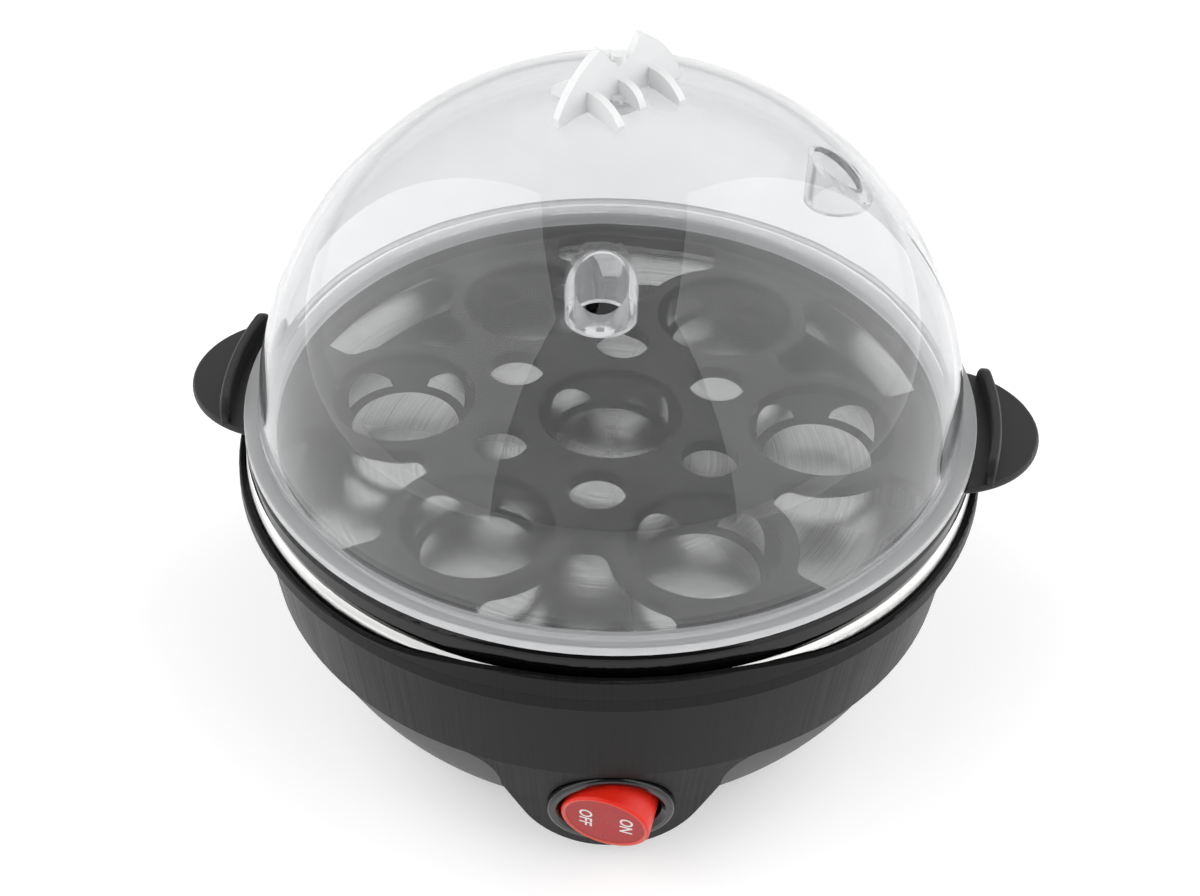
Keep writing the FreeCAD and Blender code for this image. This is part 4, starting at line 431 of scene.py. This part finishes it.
@dataclass(frozen=True)
class ClearPlastic(Finish):
    """Clear plastic with a faint unevenness, which lets the lamps through."""

    tint: Colour = (0.97, 0.975, 0.98, 1.0)
    index: float = 1.5
    ripple: float = 0.02
    haze: float = 0.0
    # painted glow: how much milk colour stands for the light caught in the flange and round the tubes
    flange_painted_glow: float = 0.0
    tube_painted_glow: float = 0.0
    turn_degrees: float = 0.0
    milk: Colour = (0.86, 0.865, 0.87, 1.0)

    def surface(self, graph: Graph, place: bpy.types.NodeSocket) -> bpy.types.NodeSocket:
        """Glass for what is seen, with a faint haze and a painted glow in places, and nothing in the way of the lamps.
        """
        noise = graph.add("ShaderNodeTexNoise", {"Vector": place, "Scale": 60.0, "Detail": 1.0})
        bump = graph.add("ShaderNodeBump", {"Height": noise.outputs["Fac"], "Strength": self.ripple, "Distance": 0.002})
        seen = graph.add(
            "ShaderNodeBsdfGlass",
            {"Color": self.tint, "IOR": self.index, "Roughness": 0.0, "Normal": bump.outputs[0]},
        ).outputs[0]
        if self.haze > 0.0:
            seen = self._haze_and_painted_glow(graph, place, noise.outputs["Fac"], seen)
        path = graph.add("ShaderNodeLightPath")
        clear = graph.add("ShaderNodeBsdfTransparent", {"Color": self.tint})
        lamps = graph.math("MAXIMUM", path.outputs["Is Shadow Ray"], path.outputs["Is Diffuse Ray"])
        return graph.add("ShaderNodeMixShader", {0: lamps, 1: seen, 2: clear.outputs[0]}).outputs[0]

    def _haze_and_painted_glow(
        self, graph: Graph, place: bpy.types.NodeSocket, cloud: bpy.types.NodeSocket, glass: bpy.types.NodeSocket
    ) -> bpy.types.NodeSocket:
        """Adds the milkiness of thin moulded walls, and a painted glow of the milk colour at the flange and round the
        tubes.

        Args:
            graph: the material's graph.
            place: the coordinates.
            cloud: a slow noise that varies the haze.
            glass: the clear shader under it.

        Returns:
            The mixed shader's socket.
        """
        milk = self.effect(graph, Effect.MILK, place, Turn=math.radians(self.turn_degrees))
        amount = graph.ramp(cloud, 0.3, 0.7, self.haze * 0.85, self.haze * 1.15)
        # painted glow: the milk colour laid on the flange and round the tubes stands for light caught in the thick
        # clear plastic there
        amount = graph.math("MULTIPLY_ADD", milk.outputs["Flange"], self.flange_painted_glow, amount)
        amount = graph.math("MULTIPLY_ADD", milk.outputs["Tube"], self.tube_painted_glow, amount)
        back = graph.add("ShaderNodeBsdfTranslucent", {"Color": self.milk})
        front = graph.add("ShaderNodeBsdfDiffuse", {"Color": self.milk})
        both = graph.add("ShaderNodeMixShader", {0: 0.5, 1: front.outputs[0], 2: back.outputs[0]})
        return graph.add("ShaderNodeMixShader", {0: amount, 1: glass, 2: both.outputs[0]}).outputs[0]


@dataclass(frozen=True)
class FrostedPlastic(Finish):
    """Milky plastic that light soaks into."""

    colour: Colour = (0.86, 0.87, 0.88, 1.0)
    passing: float = 0.35
    rough: float = 0.4

    def surface(self, graph: Graph, place: bpy.types.NodeSocket) -> bpy.types.NodeSocket:
        """Soft transmission under a fine frosted skin."""
        grain = self.effect(graph, Effect.GRAIN, place, Scale=3200.0)
        bump = graph.add("ShaderNodeBump", {"Height": grain.outputs["Height"], "Strength": 0.15, "Distance": 0.0003})
        shader = graph.add(
            "ShaderNodeBsdfPrincipled",
            {
                "Base Color": graph.blend(grain.outputs["Cloud"], tuple(c * 0.96 for c in self.colour[:3]) + (1.0,), self.colour),
                "Roughness": graph.ramp(grain.outputs["Cloud"], 0.0, 1.0, self.rough - 0.06, self.rough + 0.06),
                "Transmission Weight": self.passing,
                "IOR": 1.49,
                "Normal": bump.outputs[0],
            },
        )
        return shader.outputs[0]


@dataclass(frozen=True)
class ColouredPlastic(Finish):
    """Glossy coloured plastic, such as the rocker's."""

    deep: Colour = (0.45, 0.006, 0.006, 1.0)
    bright: Colour = (0.75, 0.02, 0.015, 1.0)
    rough: float = 0.22

    def surface(self, graph: Graph, place: bpy.types.NodeSocket) -> bpy.types.NodeSocket:
        """A clear-coated body colour with slight clouds."""
        grain = self.effect(graph, Effect.GRAIN, place, Scale=3000.0, Cloud=120.0)
        bump = graph.add("ShaderNodeBump", {"Height": grain.outputs["Height"], "Strength": 0.05, "Distance": 0.0003})
        shader = graph.add(
            "ShaderNodeBsdfPrincipled",
            {
                "Base Color": graph.blend(grain.outputs["Cloud"], self.deep, self.bright),
                "Roughness": graph.ramp(grain.outputs["Cloud"], 0.0, 1.0, self.rough - 0.04, self.rough + 0.06),
                "Coat Weight": 0.4,
                "Coat Roughness": 0.08,
                "Normal": bump.outputs[0],
            },
        )
        return shader.outputs[0]


@dataclass(frozen=True)
class RockerPlastic(Finish):
    """The rocker's tinted plastic: a deep face, a painted highlight as a pale line at its rim, and a side painted
    bright for the light that glows through it.
    """

    face: Colour = (0.42, 0.006, 0.006, 1.0)
    # painted highlight: the pale rim colour stands for light on the rounded edge, and the bright side colour for light
    # glowing through the tinted sides
    rim: Colour = (0.70, 0.11, 0.08, 1.0)
    side: Colour = (0.80, 0.022, 0.010, 1.0)
    painted_highlight_from: float = 0.0088
    painted_lit_side_from: float = 0.0094

    def surface(self, graph: Graph, place: bpy.types.NodeSocket) -> bpy.types.NodeSocket:
        """Colours by the distance from the rocker's own axis: the deep face, then a painted highlight at the rim and
        painted light on the side.
        """
        grain = self.effect(graph, Effect.GRAIN, place, Scale=3000.0, Cloud=120.0)
        stand = RockerSwitch()
        away = graph.add("ShaderNodeVectorMath", {0: place, 1: tuple(stand.pivot())}, operation="SUBTRACT")
        across = graph.add("ShaderNodeVectorMath", {0: away.outputs[0], 1: tuple(stand.outward())}, operation="CROSS_PRODUCT")
        radius = graph.add("ShaderNodeVectorMath", {0: across.outputs[0]}, operation="LENGTH").outputs["Value"]
        shade = graph.blend(grain.outputs["Cloud"], tuple(c * 0.92 for c in self.face[:3]) + (1.0,), self.face)
        # painted highlight at the rim, then painted light on the side, by distance from the rocker's axis
        shade = graph.blend(graph.math("GREATER_THAN", radius, self.painted_highlight_from), shade, self.rim)
        shade = graph.blend(graph.math("GREATER_THAN", radius, self.painted_lit_side_from), shade, self.side)
        bump = graph.add("ShaderNodeBump", {"Height": grain.outputs["Height"], "Strength": 0.05, "Distance": 0.0003})
        shader = graph.add(
            "ShaderNodeBsdfPrincipled",
            {
                "Base Color": shade,
                "Roughness": graph.ramp(grain.outputs["Cloud"], 0.0, 1.0, 0.22, 0.32),
                "Specular IOR Level": 0.28,
                "Normal": bump.outputs[0],
            },
        )
        return shader.outputs[0]


@dataclass
class SubAssembly:
    """A sub-assembly of the cooker: its CAD nodes, the finishes on them and its own small pieces."""

    nodes: tuple[str, ...] = ()

    def finishes(self) -> list[Finish]:
        """The finishes of this sub-assembly."""
        return []

    def details(self, materials: dict[str, bpy.types.Material]) -> list[bpy.types.Object]:
        """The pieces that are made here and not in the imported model."""
        return []

    def build(self) -> None:
        """Makes the finishes, dresses the nodes and adds the small pieces."""
        materials = {finish.slot: finish.material() for finish in self.finishes()}
        for name in self.nodes:
            for slot in frame["nodes"][name].material_slots:
                slot.material = materials[slot.material.name.split(".")[0]]
            LOG.info("dressed %s", name)
        for made in self.details(materials):
            LOG.info("made %s", made.name)


@dataclass
class Housing(SubAssembly):
    """The two shells of the base, its feet and the screws that close it."""

    nodes: tuple[str, ...] = (
        "upper_housing", "base_cover", "foot_rear_right", "foot_rear_left",
        "foot_front_left", "foot_front_right", "base_screws", "cord_gland",
    )
    screw_count: int = 4
    screw_circle: float = 68.0
    screw_turn: float = 45.0
    head_radius: float = 3.3
    head_height: float = 2.2
    head_edge: float = 0.8
    shank_radius: float = 1.5
    recess_width: float = 0.9
    recess_span: float = 3.8
    recess_depth: float = 1.3
    sides: int = 32

    def finishes(self) -> list[Finish]:
        """Satin black above the seam, matte grey below it, rubber and plated steel."""
        return [
            MouldedPlastic("housing_black", dark=0.003, light=0.008, smooth=0.30, rough=0.46, streaks=0.75, specular=0.15),
            MouldedPlastic("cover_grey", dark=0.050, light=0.078, smooth=0.5, rough=0.62, streaks=0.5),
            MouldedPlastic("foot_rubber", dark=0.012, light=0.02, smooth=0.7, rough=0.85),
            TurnedMetal("screw_steel", across=9000.0),
            MouldedPlastic("gland_rubber", dark=0.014, light=0.022, smooth=0.55, rough=0.7),
        ]

    def details(self, materials: dict[str, bpy.types.Material]) -> list[bpy.types.Object]:
        """The four closing screws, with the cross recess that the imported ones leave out."""
        low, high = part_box("base_screws")
        screw = self._one_screw(low.z, high.z)
        modifier = screw.modifiers.new("ring_of_screws", "NODES")
        modifier.node_group = self._ring_of_screws()
        sizes = {
            "Count": self.screw_count,
            "Circle": self.screw_circle * MM,
            "Turn": math.radians(self.screw_turn),
            "Width": self.recess_width * MM,
            "Span": self.recess_span * MM,
            "Depth": self.recess_depth * MM * 2.0,
            "Face": low.z,
            "Finish": materials["screw_steel"],
        }
        for item in modifier.node_group.interface.items_tree:
            if item.name in sizes and item.in_out == "INPUT":
                modifier[item.identifier] = sizes[item.name]
        bpy.context.view_layer.update()
        ready = screw.evaluated_get(bpy.context.evaluated_depsgraph_get())
        mesh = bpy.data.meshes.new_from_object(ready)
        screw.modifiers.remove(modifier)
        screw.data = mesh
        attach(screw, "root")
        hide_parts("base_screws")
        return [screw]

    def _one_screw(self, low: float, high: float) -> bpy.types.Object:
        """Turns one screw about the vertical axis.

        Args:
            low: the height of the head's outer face.
            high: the height of the point.

        Returns:
            The screw, on the axis of the cooker.
        """
        head, shank, edge = self.head_radius * MM, self.shank_radius * MM, self.head_edge * MM
        seat = low + self.head_height * MM
        profile = [(head - edge, low), (head, low + edge), (head, seat), (shank, seat), (shank, high)]
        shape = bmesh.new()
        rings = []
        for radius, height in profile:
            turns = [2.0 * math.pi * i / self.sides for i in range(self.sides)]
            rings.append([shape.verts.new((radius * math.cos(a), radius * math.sin(a), height)) for a in turns])
        for lower, upper in zip(rings, rings[1:]):
            for i in range(self.sides):
                j = (i + 1) % self.sides
                shape.faces.new((lower[i], lower[j], upper[j], upper[i]))
        shape.faces.new(list(reversed(rings[0])))
        shape.faces.new(rings[-1])
        mesh = bpy.data.meshes.new("closing_screws")
        shape.to_mesh(mesh)
        shape.free()
        screw = bpy.data.objects.new("closing_screws", mesh)
        bpy.context.scene.collection.objects.link(screw)
        return screw

    def _ring_of_screws(self) -> bpy.types.NodeTree:
        """Cuts a cross into one screw's head and repeats the screw round a circle.

        Returns:
            The tree, with its sizes as named inputs.
        """
        tree = bpy.data.node_groups.new("ring_of_screws", "GeometryNodeTree")
        tree.interface.new_socket("Geometry", in_out="INPUT", socket_type="NodeSocketGeometry")
        tree.interface.new_socket("Count", in_out="INPUT", socket_type="NodeSocketInt")
        for name in ("Circle", "Turn", "Width", "Span", "Depth", "Face"):
            tree.interface.new_socket(name, in_out="INPUT", socket_type="NodeSocketFloat")
        tree.interface.new_socket("Finish", in_out="INPUT", socket_type="NodeSocketMaterial")
        tree.interface.new_socket("Geometry", in_out="OUTPUT", socket_type="NodeSocketGeometry")
        graph = Graph(tree)
        given, result = graph.add("NodeGroupInput"), graph.add("NodeGroupOutput")
        width, span, depth = (given.outputs[name] for name in ("Width", "Span", "Depth"))
        face = graph.add("ShaderNodeCombineXYZ", {"Z": given.outputs["Face"]})
        cut = graph.add(
            "GeometryNodeMeshBoolean", {"Self Intersection": True}, operation="DIFFERENCE", solver="EXACT"
        )
        graph.link(given.outputs["Geometry"], cut.inputs["Mesh 1"])
        for along, aside in ((span, width), (width, span)):
            size = graph.add("ShaderNodeCombineXYZ", {"X": along, "Y": aside, "Z": depth})
            bar = graph.add("GeometryNodeMeshCube", {"Size": size.outputs[0]})
            moved = graph.add("GeometryNodeTransform", {"Geometry": bar.outputs["Mesh"], "Translation": face.outputs[0]})
            graph.link(moved.outputs["Geometry"], cut.inputs["Mesh 2"])
        places = graph.add("GeometryNodeMeshCircle", {"Vertices": given.outputs["Count"], "Radius": given.outputs["Circle"]})
        turn = graph.add("ShaderNodeCombineXYZ", {"Z": given.outputs["Turn"]})
        turned = graph.add("GeometryNodeTransform", {"Geometry": places.outputs["Mesh"], "Rotation": turn.outputs[0]})
        copies = graph.add("GeometryNodeInstanceOnPoints", {"Points": turned.outputs["Geometry"], "Instance": cut.outputs["Mesh"]})
        real = graph.add("GeometryNodeRealizeInstances", {"Geometry": copies.outputs["Instances"]})
        dressed = graph.add("GeometryNodeSetMaterial", {"Geometry": real.outputs[0], "Material": given.outputs["Finish"]})
        graph.link(dressed.outputs[0], result.inputs["Geometry"])
        return tree


@dataclass
class HeatingUnit(SubAssembly):
    """The pan, what heats it and what watches over it."""

    nodes: tuple[str, ...] = (
        "heating_pan", "pan_seal", "heat_plate", "heating_element", "pan_bridge", "bridge_nut",
        "bridge_screws", "thermostat", "thermostat_screws", "thermal_fuse", "fuse_clip", "clip_screw",
    )

    def finishes(self) -> list[Finish]:
        """Spun steel, cast aluminium, zinc plate and moulded bodies."""
        return [
            TurnedMetal("pan_steel", spun=0.6, shade=0.62, smooth=0.16, rough=0.30),
            MouldedPlastic("seal_silicone", dark=0.3, light=0.42, smooth=0.5, rough=0.6),
            TurnedMetal("plate_aluminium", colour=(0.78, 0.79, 0.8, 1.0), smooth=0.3, rough=0.45),
            TurnedMetal("element_sheath", colour=(0.36, 0.35, 0.34, 1.0), smooth=0.4, rough=0.55),
            TurnedMetal("bracket_steel", colour=(0.6, 0.61, 0.63, 1.0), smooth=0.3, rough=0.42),
            TurnedMetal("screw_steel", across=9000.0),
            MouldedPlastic("thermostat_body", dark=0.045, light=0.06, smooth=0.3, rough=0.42),
            TurnedMetal("fuse_body", colour=(0.72, 0.7, 0.66, 1.0), smooth=0.25, rough=0.4),
        ]


@dataclass
class Wiring(SubAssembly):
    """The terminal block and the leads inside the base."""

    nodes: tuple[str, ...] = (
        "terminal_block", "block_connectors", "block_screw", "lead_block_to_switch",
        "lead_switch_to_thermostat", "lead_thermostat_to_element", "lead_lamp_to_block",
        "lead_element_to_fuse", "lead_fuse_to_block",
    )

    def finishes(self) -> list[Finish]:
        """Pale moulding, brass, steel and silicone sleeves."""
        return [
            MouldedPlastic("block_plastic", dark=0.5, light=0.62, smooth=0.4, rough=0.55),
            TurnedMetal("terminal_brass", colour=(0.76, 0.55, 0.26, 1.0)),
            TurnedMetal("screw_steel", across=9000.0),
            ColouredPlastic("lead_insulation", deep=(0.55, 0.55, 0.53, 1.0), bright=(0.68, 0.68, 0.66, 1.0), rough=0.45),
        ]


class Word(Enum):
    """The words on the rocker, each with its place across the face and up it, in millimetres."""

    OFF = (-4.37, 0.08)
    ON = (4.58, 0.66)


@dataclass
class RockerSwitch(SubAssembly):
    """The round switch in the chin, with the words on its rocker."""

    nodes: tuple[str, ...] = ("switch_body", "switch_terminals", "neon_lamp", "rocker")
    tilt_degrees: float = 12.6
    tipped_degrees: float = 16.0
    face_height: float = 4.877
    letter_height: float = 2.8
    paint: float = 0.05
    capital_share: float = 0.70
    stroke: float = 0.05

    def finishes(self) -> list[Finish]:
        """Polished black, tinted red, brass and glass."""
        return [
            MouldedPlastic("switch_black", dark=0.003, light=0.005, smooth=0.08, rough=0.16, grain_depth=0.02),
            RockerPlastic("rocker_red"),
            TurnedMetal("terminal_brass", colour=(0.76, 0.55, 0.26, 1.0)),
            ClearPlastic("lamp_glass"),
        ]

    def pivot(self) -> Vector:
        """The middle of the rocker's pins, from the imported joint."""
        joints = frame["record"]["behaviour"]["joints"]
        return Vector(next(joint for joint in joints if joint["name"] == "rocker_tip")["pos_m"])

    def upward(self) -> Vector:
        """The direction up the chin's face."""
        tilt = math.radians(self.tilt_degrees)
        return Vector((0.0, -math.sin(tilt), math.cos(tilt)))

    def outward(self) -> Vector:
        """The direction that the tipped rocker's face looks in."""
        tilt, tipped = math.radians(self.tilt_degrees), math.radians(self.tipped_degrees)
        straight = Vector((0.0, -math.cos(tilt), -math.sin(tilt)))
        return straight * math.cos(tipped) - Vector((1.0, 0.0, 0.0)) * math.sin(tipped)

    def details(self, materials: dict[str, bpy.types.Material]) -> list[bpy.types.Object]:
        """OFF and ON, printed on the rocker's face."""
        print_white = MouldedPlastic("printed_white", dark=0.74, light=0.80, smooth=0.4, rough=0.5, grain_depth=0.02).material()
        return [self._word(word, print_white) for word in Word]

    def _word(self, word: Word, paint: bpy.types.Material) -> bpy.types.Object:
        """Sets one word on the face, its letters turned a quarter clockwise.

        Args:
            word: which word it is.
            paint: the printed colour.

        Returns:
            The word as a thin mesh on the rocker.
        """
        curve = bpy.data.curves.new(word.name, "FONT")
        curve.body = word.name
        curve.align_x = "CENTER"
        curve.align_y = "CENTER"
        curve.size = self.letter_height * MM / self.capital_share
        curve.extrude = self.paint * MM / 2.0
        curve.offset = self.stroke * MM
        drawn = bpy.data.objects.new("word_source", curve)
        bpy.context.scene.collection.objects.link(drawn)
        bpy.context.view_layer.update()
        mesh = bpy.data.meshes.new_from_object(drawn.evaluated_get(bpy.context.evaluated_depsgraph_get()))
        bpy.data.objects.remove(drawn)
        out, up = self.outward(), self.upward()
        side = up.cross(out)
        across, along = word.value
        middle = self.pivot() + out * (self.face_height + self.paint / 2.0) * MM + (side * across + up * along) * MM
        turn = Matrix((-up, side, out)).transposed().to_4x4()
        mesh.transform(Matrix.Translation(middle) @ turn)
        mesh.materials.clear()
        mesh.materials.append(paint)
        piece = bpy.data.objects.new(f"word_{word.name.lower()}", mesh)
        bpy.context.scene.collection.objects.link(piece)
        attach(piece, "rocker")
        return piece


@dataclass
class EggTray(SubAssembly):
    """The black tray with its cups, steam openings and ears."""

    nodes: tuple[str, ...] = ("egg_tray",)
    rim_radius: float = 82.75

    def finishes(self) -> list[Finish]:
        """Polished black inside the rim, satin on the ears."""
        return [
            MouldedPlastic(
                "tray_black", dark=0.001, light=0.002, smooth=0.05, rough=0.11, grain_depth=0.015, specular=0.3,
                satin_past=self.rim_radius * MM, satin=0.012,
            ),
        ]


@dataclass
class Lid(SubAssembly):
    """The clear dome and its frosted handle."""

    nodes: tuple[str, ...] = ("lid_dome", "lid_handle")
    turn_degrees: float = -4.4

    def finishes(self) -> list[Finish]:
        """Clear plastic with a painted glow at the flange and the tubes, and a frosted grip."""
        return [
            ClearPlastic(
                "lid_clear", tint=(0.93, 0.932, 0.936, 1.0), haze=0.045, flange_painted_glow=0.30,
                tube_painted_glow=0.10, turn_degrees=self.turn_degrees,
            ),
            FrostedPlastic("handle_frosted", colour=(0.93, 0.935, 0.94, 1.0), passing=0.2),
        ]


@dataclass
class Studio:
    """The floor, the white surroundings and two tall soft boxes, one on each side."""

    box_distance: float = 0.8
    box_front: float = -1.14
    box_back: float = 0.75
    box_height: float = 2.4
    box_radiance: float = 1.5
    floor_radius: float = 6.0

    def build(self) -> None:
        """Makes everything that isn't the object."""
        self._floor()
        self._world()
        for side in (-1.0, 1.0):
            self._soft_box(side)

    def _soft_box(self, side: float) -> None:
        """One tall panel beside the object, facing it."""
        width = self.box_back - self.box_front
        data = bpy.data.lights.new("soft_box", "AREA")
        data.shape = "RECTANGLE"
        data.size = width
        data.size_y = self.box_height
        data.energy = self.box_radiance * math.pi * width * self.box_height
        panel = bpy.data.objects.new("soft_box", data)
        panel.visible_transmission = False
        across = Vector((0.0, 1.0, 0.0)) * side
        facing = Vector((-side, 0.0, 0.0))
        turn = Matrix((across, -facing.cross(across), -facing)).transposed()
        panel.matrix_world = Matrix.Translation((side * self.box_distance, (self.box_front + self.box_back) / 2.0, self.box_height / 2.0)) @ turn.to_4x4()
        bpy.context.scene.collection.objects.link(panel)

    def _floor(self) -> None:
        """A wide round floor that reads as white and keeps the object's shadow."""
        mesh = bpy.data.meshes.new("floor")
        ring = bmesh.new()
        bmesh.ops.create_circle(ring, cap_ends=True, segments=96, radius=self.floor_radius)
        ring.to_mesh(mesh)
        ring.free()
        floor = bpy.data.objects.new("floor", mesh)
        bpy.context.scene.collection.objects.link(floor)
        made = bpy.data.materials.new("floor_paper")
        made.use_nodes = True
        made.node_tree.nodes.clear()
        graph = Graph(made.node_tree)
        path = graph.add("ShaderNodeLightPath")
        seen = graph.math("MAXIMUM", graph.math("MAXIMUM", path.outputs["Is Camera Ray"], path.outputs["Is Glossy Ray"]), path.outputs["Is Transmission Ray"])
        paper = graph.add("ShaderNodeBsdfDiffuse", {"Color": grey(0.8)})
        glow = graph.add("ShaderNodeEmission", {"Color": grey(1.0), "Strength": graph.math("MULTIPLY", seen, 0.35)})
        total = graph.add("ShaderNodeAddShader", {0: paper.outputs[0], 1: glow.outputs[0]})
        out = graph.add("ShaderNodeOutputMaterial")
        graph.link(total.outputs[0], out.inputs["Surface"])
        mesh.materials.append(made)

    def _world(self) -> None:
        """White wherever it is seen, and a plain level of light everywhere else."""
        world = bpy.data.worlds.new("studio")
        bpy.context.scene.world = world
        world.use_nodes = True
        world.node_tree.nodes.clear()
        graph = Graph(world.node_tree)
        path = graph.add("ShaderNodeLightPath")
        seen = graph.math("MAXIMUM", path.outputs["Is Camera Ray"], path.outputs["Is Transmission Ray"])
        place = graph.add("ShaderNodeTexCoord").outputs["Generated"]
        parts = graph.add("ShaderNodeSeparateXYZ", {0: place})
        behind = graph.ramp(parts.outputs["Y"], -0.3, 0.3, 0.15, 1.0)
        low = graph.ramp(parts.outputs["Z"], 0.75, 0.95, 1.0, 0.2)
        glossy = graph.math("MULTIPLY", behind, low)
        level = graph.add("ShaderNodeMix", {0: path.outputs["Is Glossy Ray"], 2: 0.45, 3: glossy}, data_type="FLOAT")
        strength = graph.add("ShaderNodeMix", {0: seen, 2: level.outputs[0], 3: 1.0}, data_type="FLOAT")
        background = graph.add("ShaderNodeBackground", {"Color": grey(1.0), "Strength": strength.outputs[0]})
        out = graph.add("ShaderNodeOutputWorld")
        graph.link(background.outputs[0], out.inputs["Surface"])


@dataclass
class PhotoCamera:
    """The camera, where the photograph was taken from."""

    place_mm: tuple[float, float, float] = (-9.66, -335.98, 336.87)
    forward: tuple[float, float, float] = (0.01714, 0.77109, -0.63650)
    roll_degrees: float = 1.151
    focal_pixels: float = 1866.5
    image_width: float = 1200.0
    sensor_mm: float = 36.0

    def build(self) -> None:
        """Makes the camera and gives it to the scene."""
        data = bpy.data.cameras.new("camera")
        data.sensor_width = self.sensor_mm
        data.lens = self.focal_pixels * self.sensor_mm / self.image_width
        data.clip_start = 0.01
        camera = bpy.data.objects.new("camera", data)
        bpy.context.scene.collection.objects.link(camera)
        ahead = Vector(self.forward).normalized()
        right = ahead.cross(Vector((0.0, 0.0, 1.0))).normalized()
        up = right.cross(ahead)
        roll = math.radians(self.roll_degrees)
        turned_right = right * math.cos(roll) + up * math.sin(roll)
        turned_up = up * math.cos(roll) - right * math.sin(roll)
        turn = Matrix((turned_right, turned_up, -ahead)).transposed()
        camera.matrix_world = Matrix.Translation(Vector(self.place_mm) * MM) @ turn.to_4x4()
        bpy.context.scene.camera = camera


def main() -> None:
    """Builds the whole scene."""
    logging.basicConfig(level=logging.INFO, format="%(name)s: %(message)s")
    bpy.context.scene.view_settings.view_transform = "Standard"
    for part in (Housing(), HeatingUnit(), Wiring(), RockerSwitch(), EggTray(), Lid()):
        part.build()
    Studio().build()
    PhotoCamera().build()


if __name__ == "__main__":
    main()
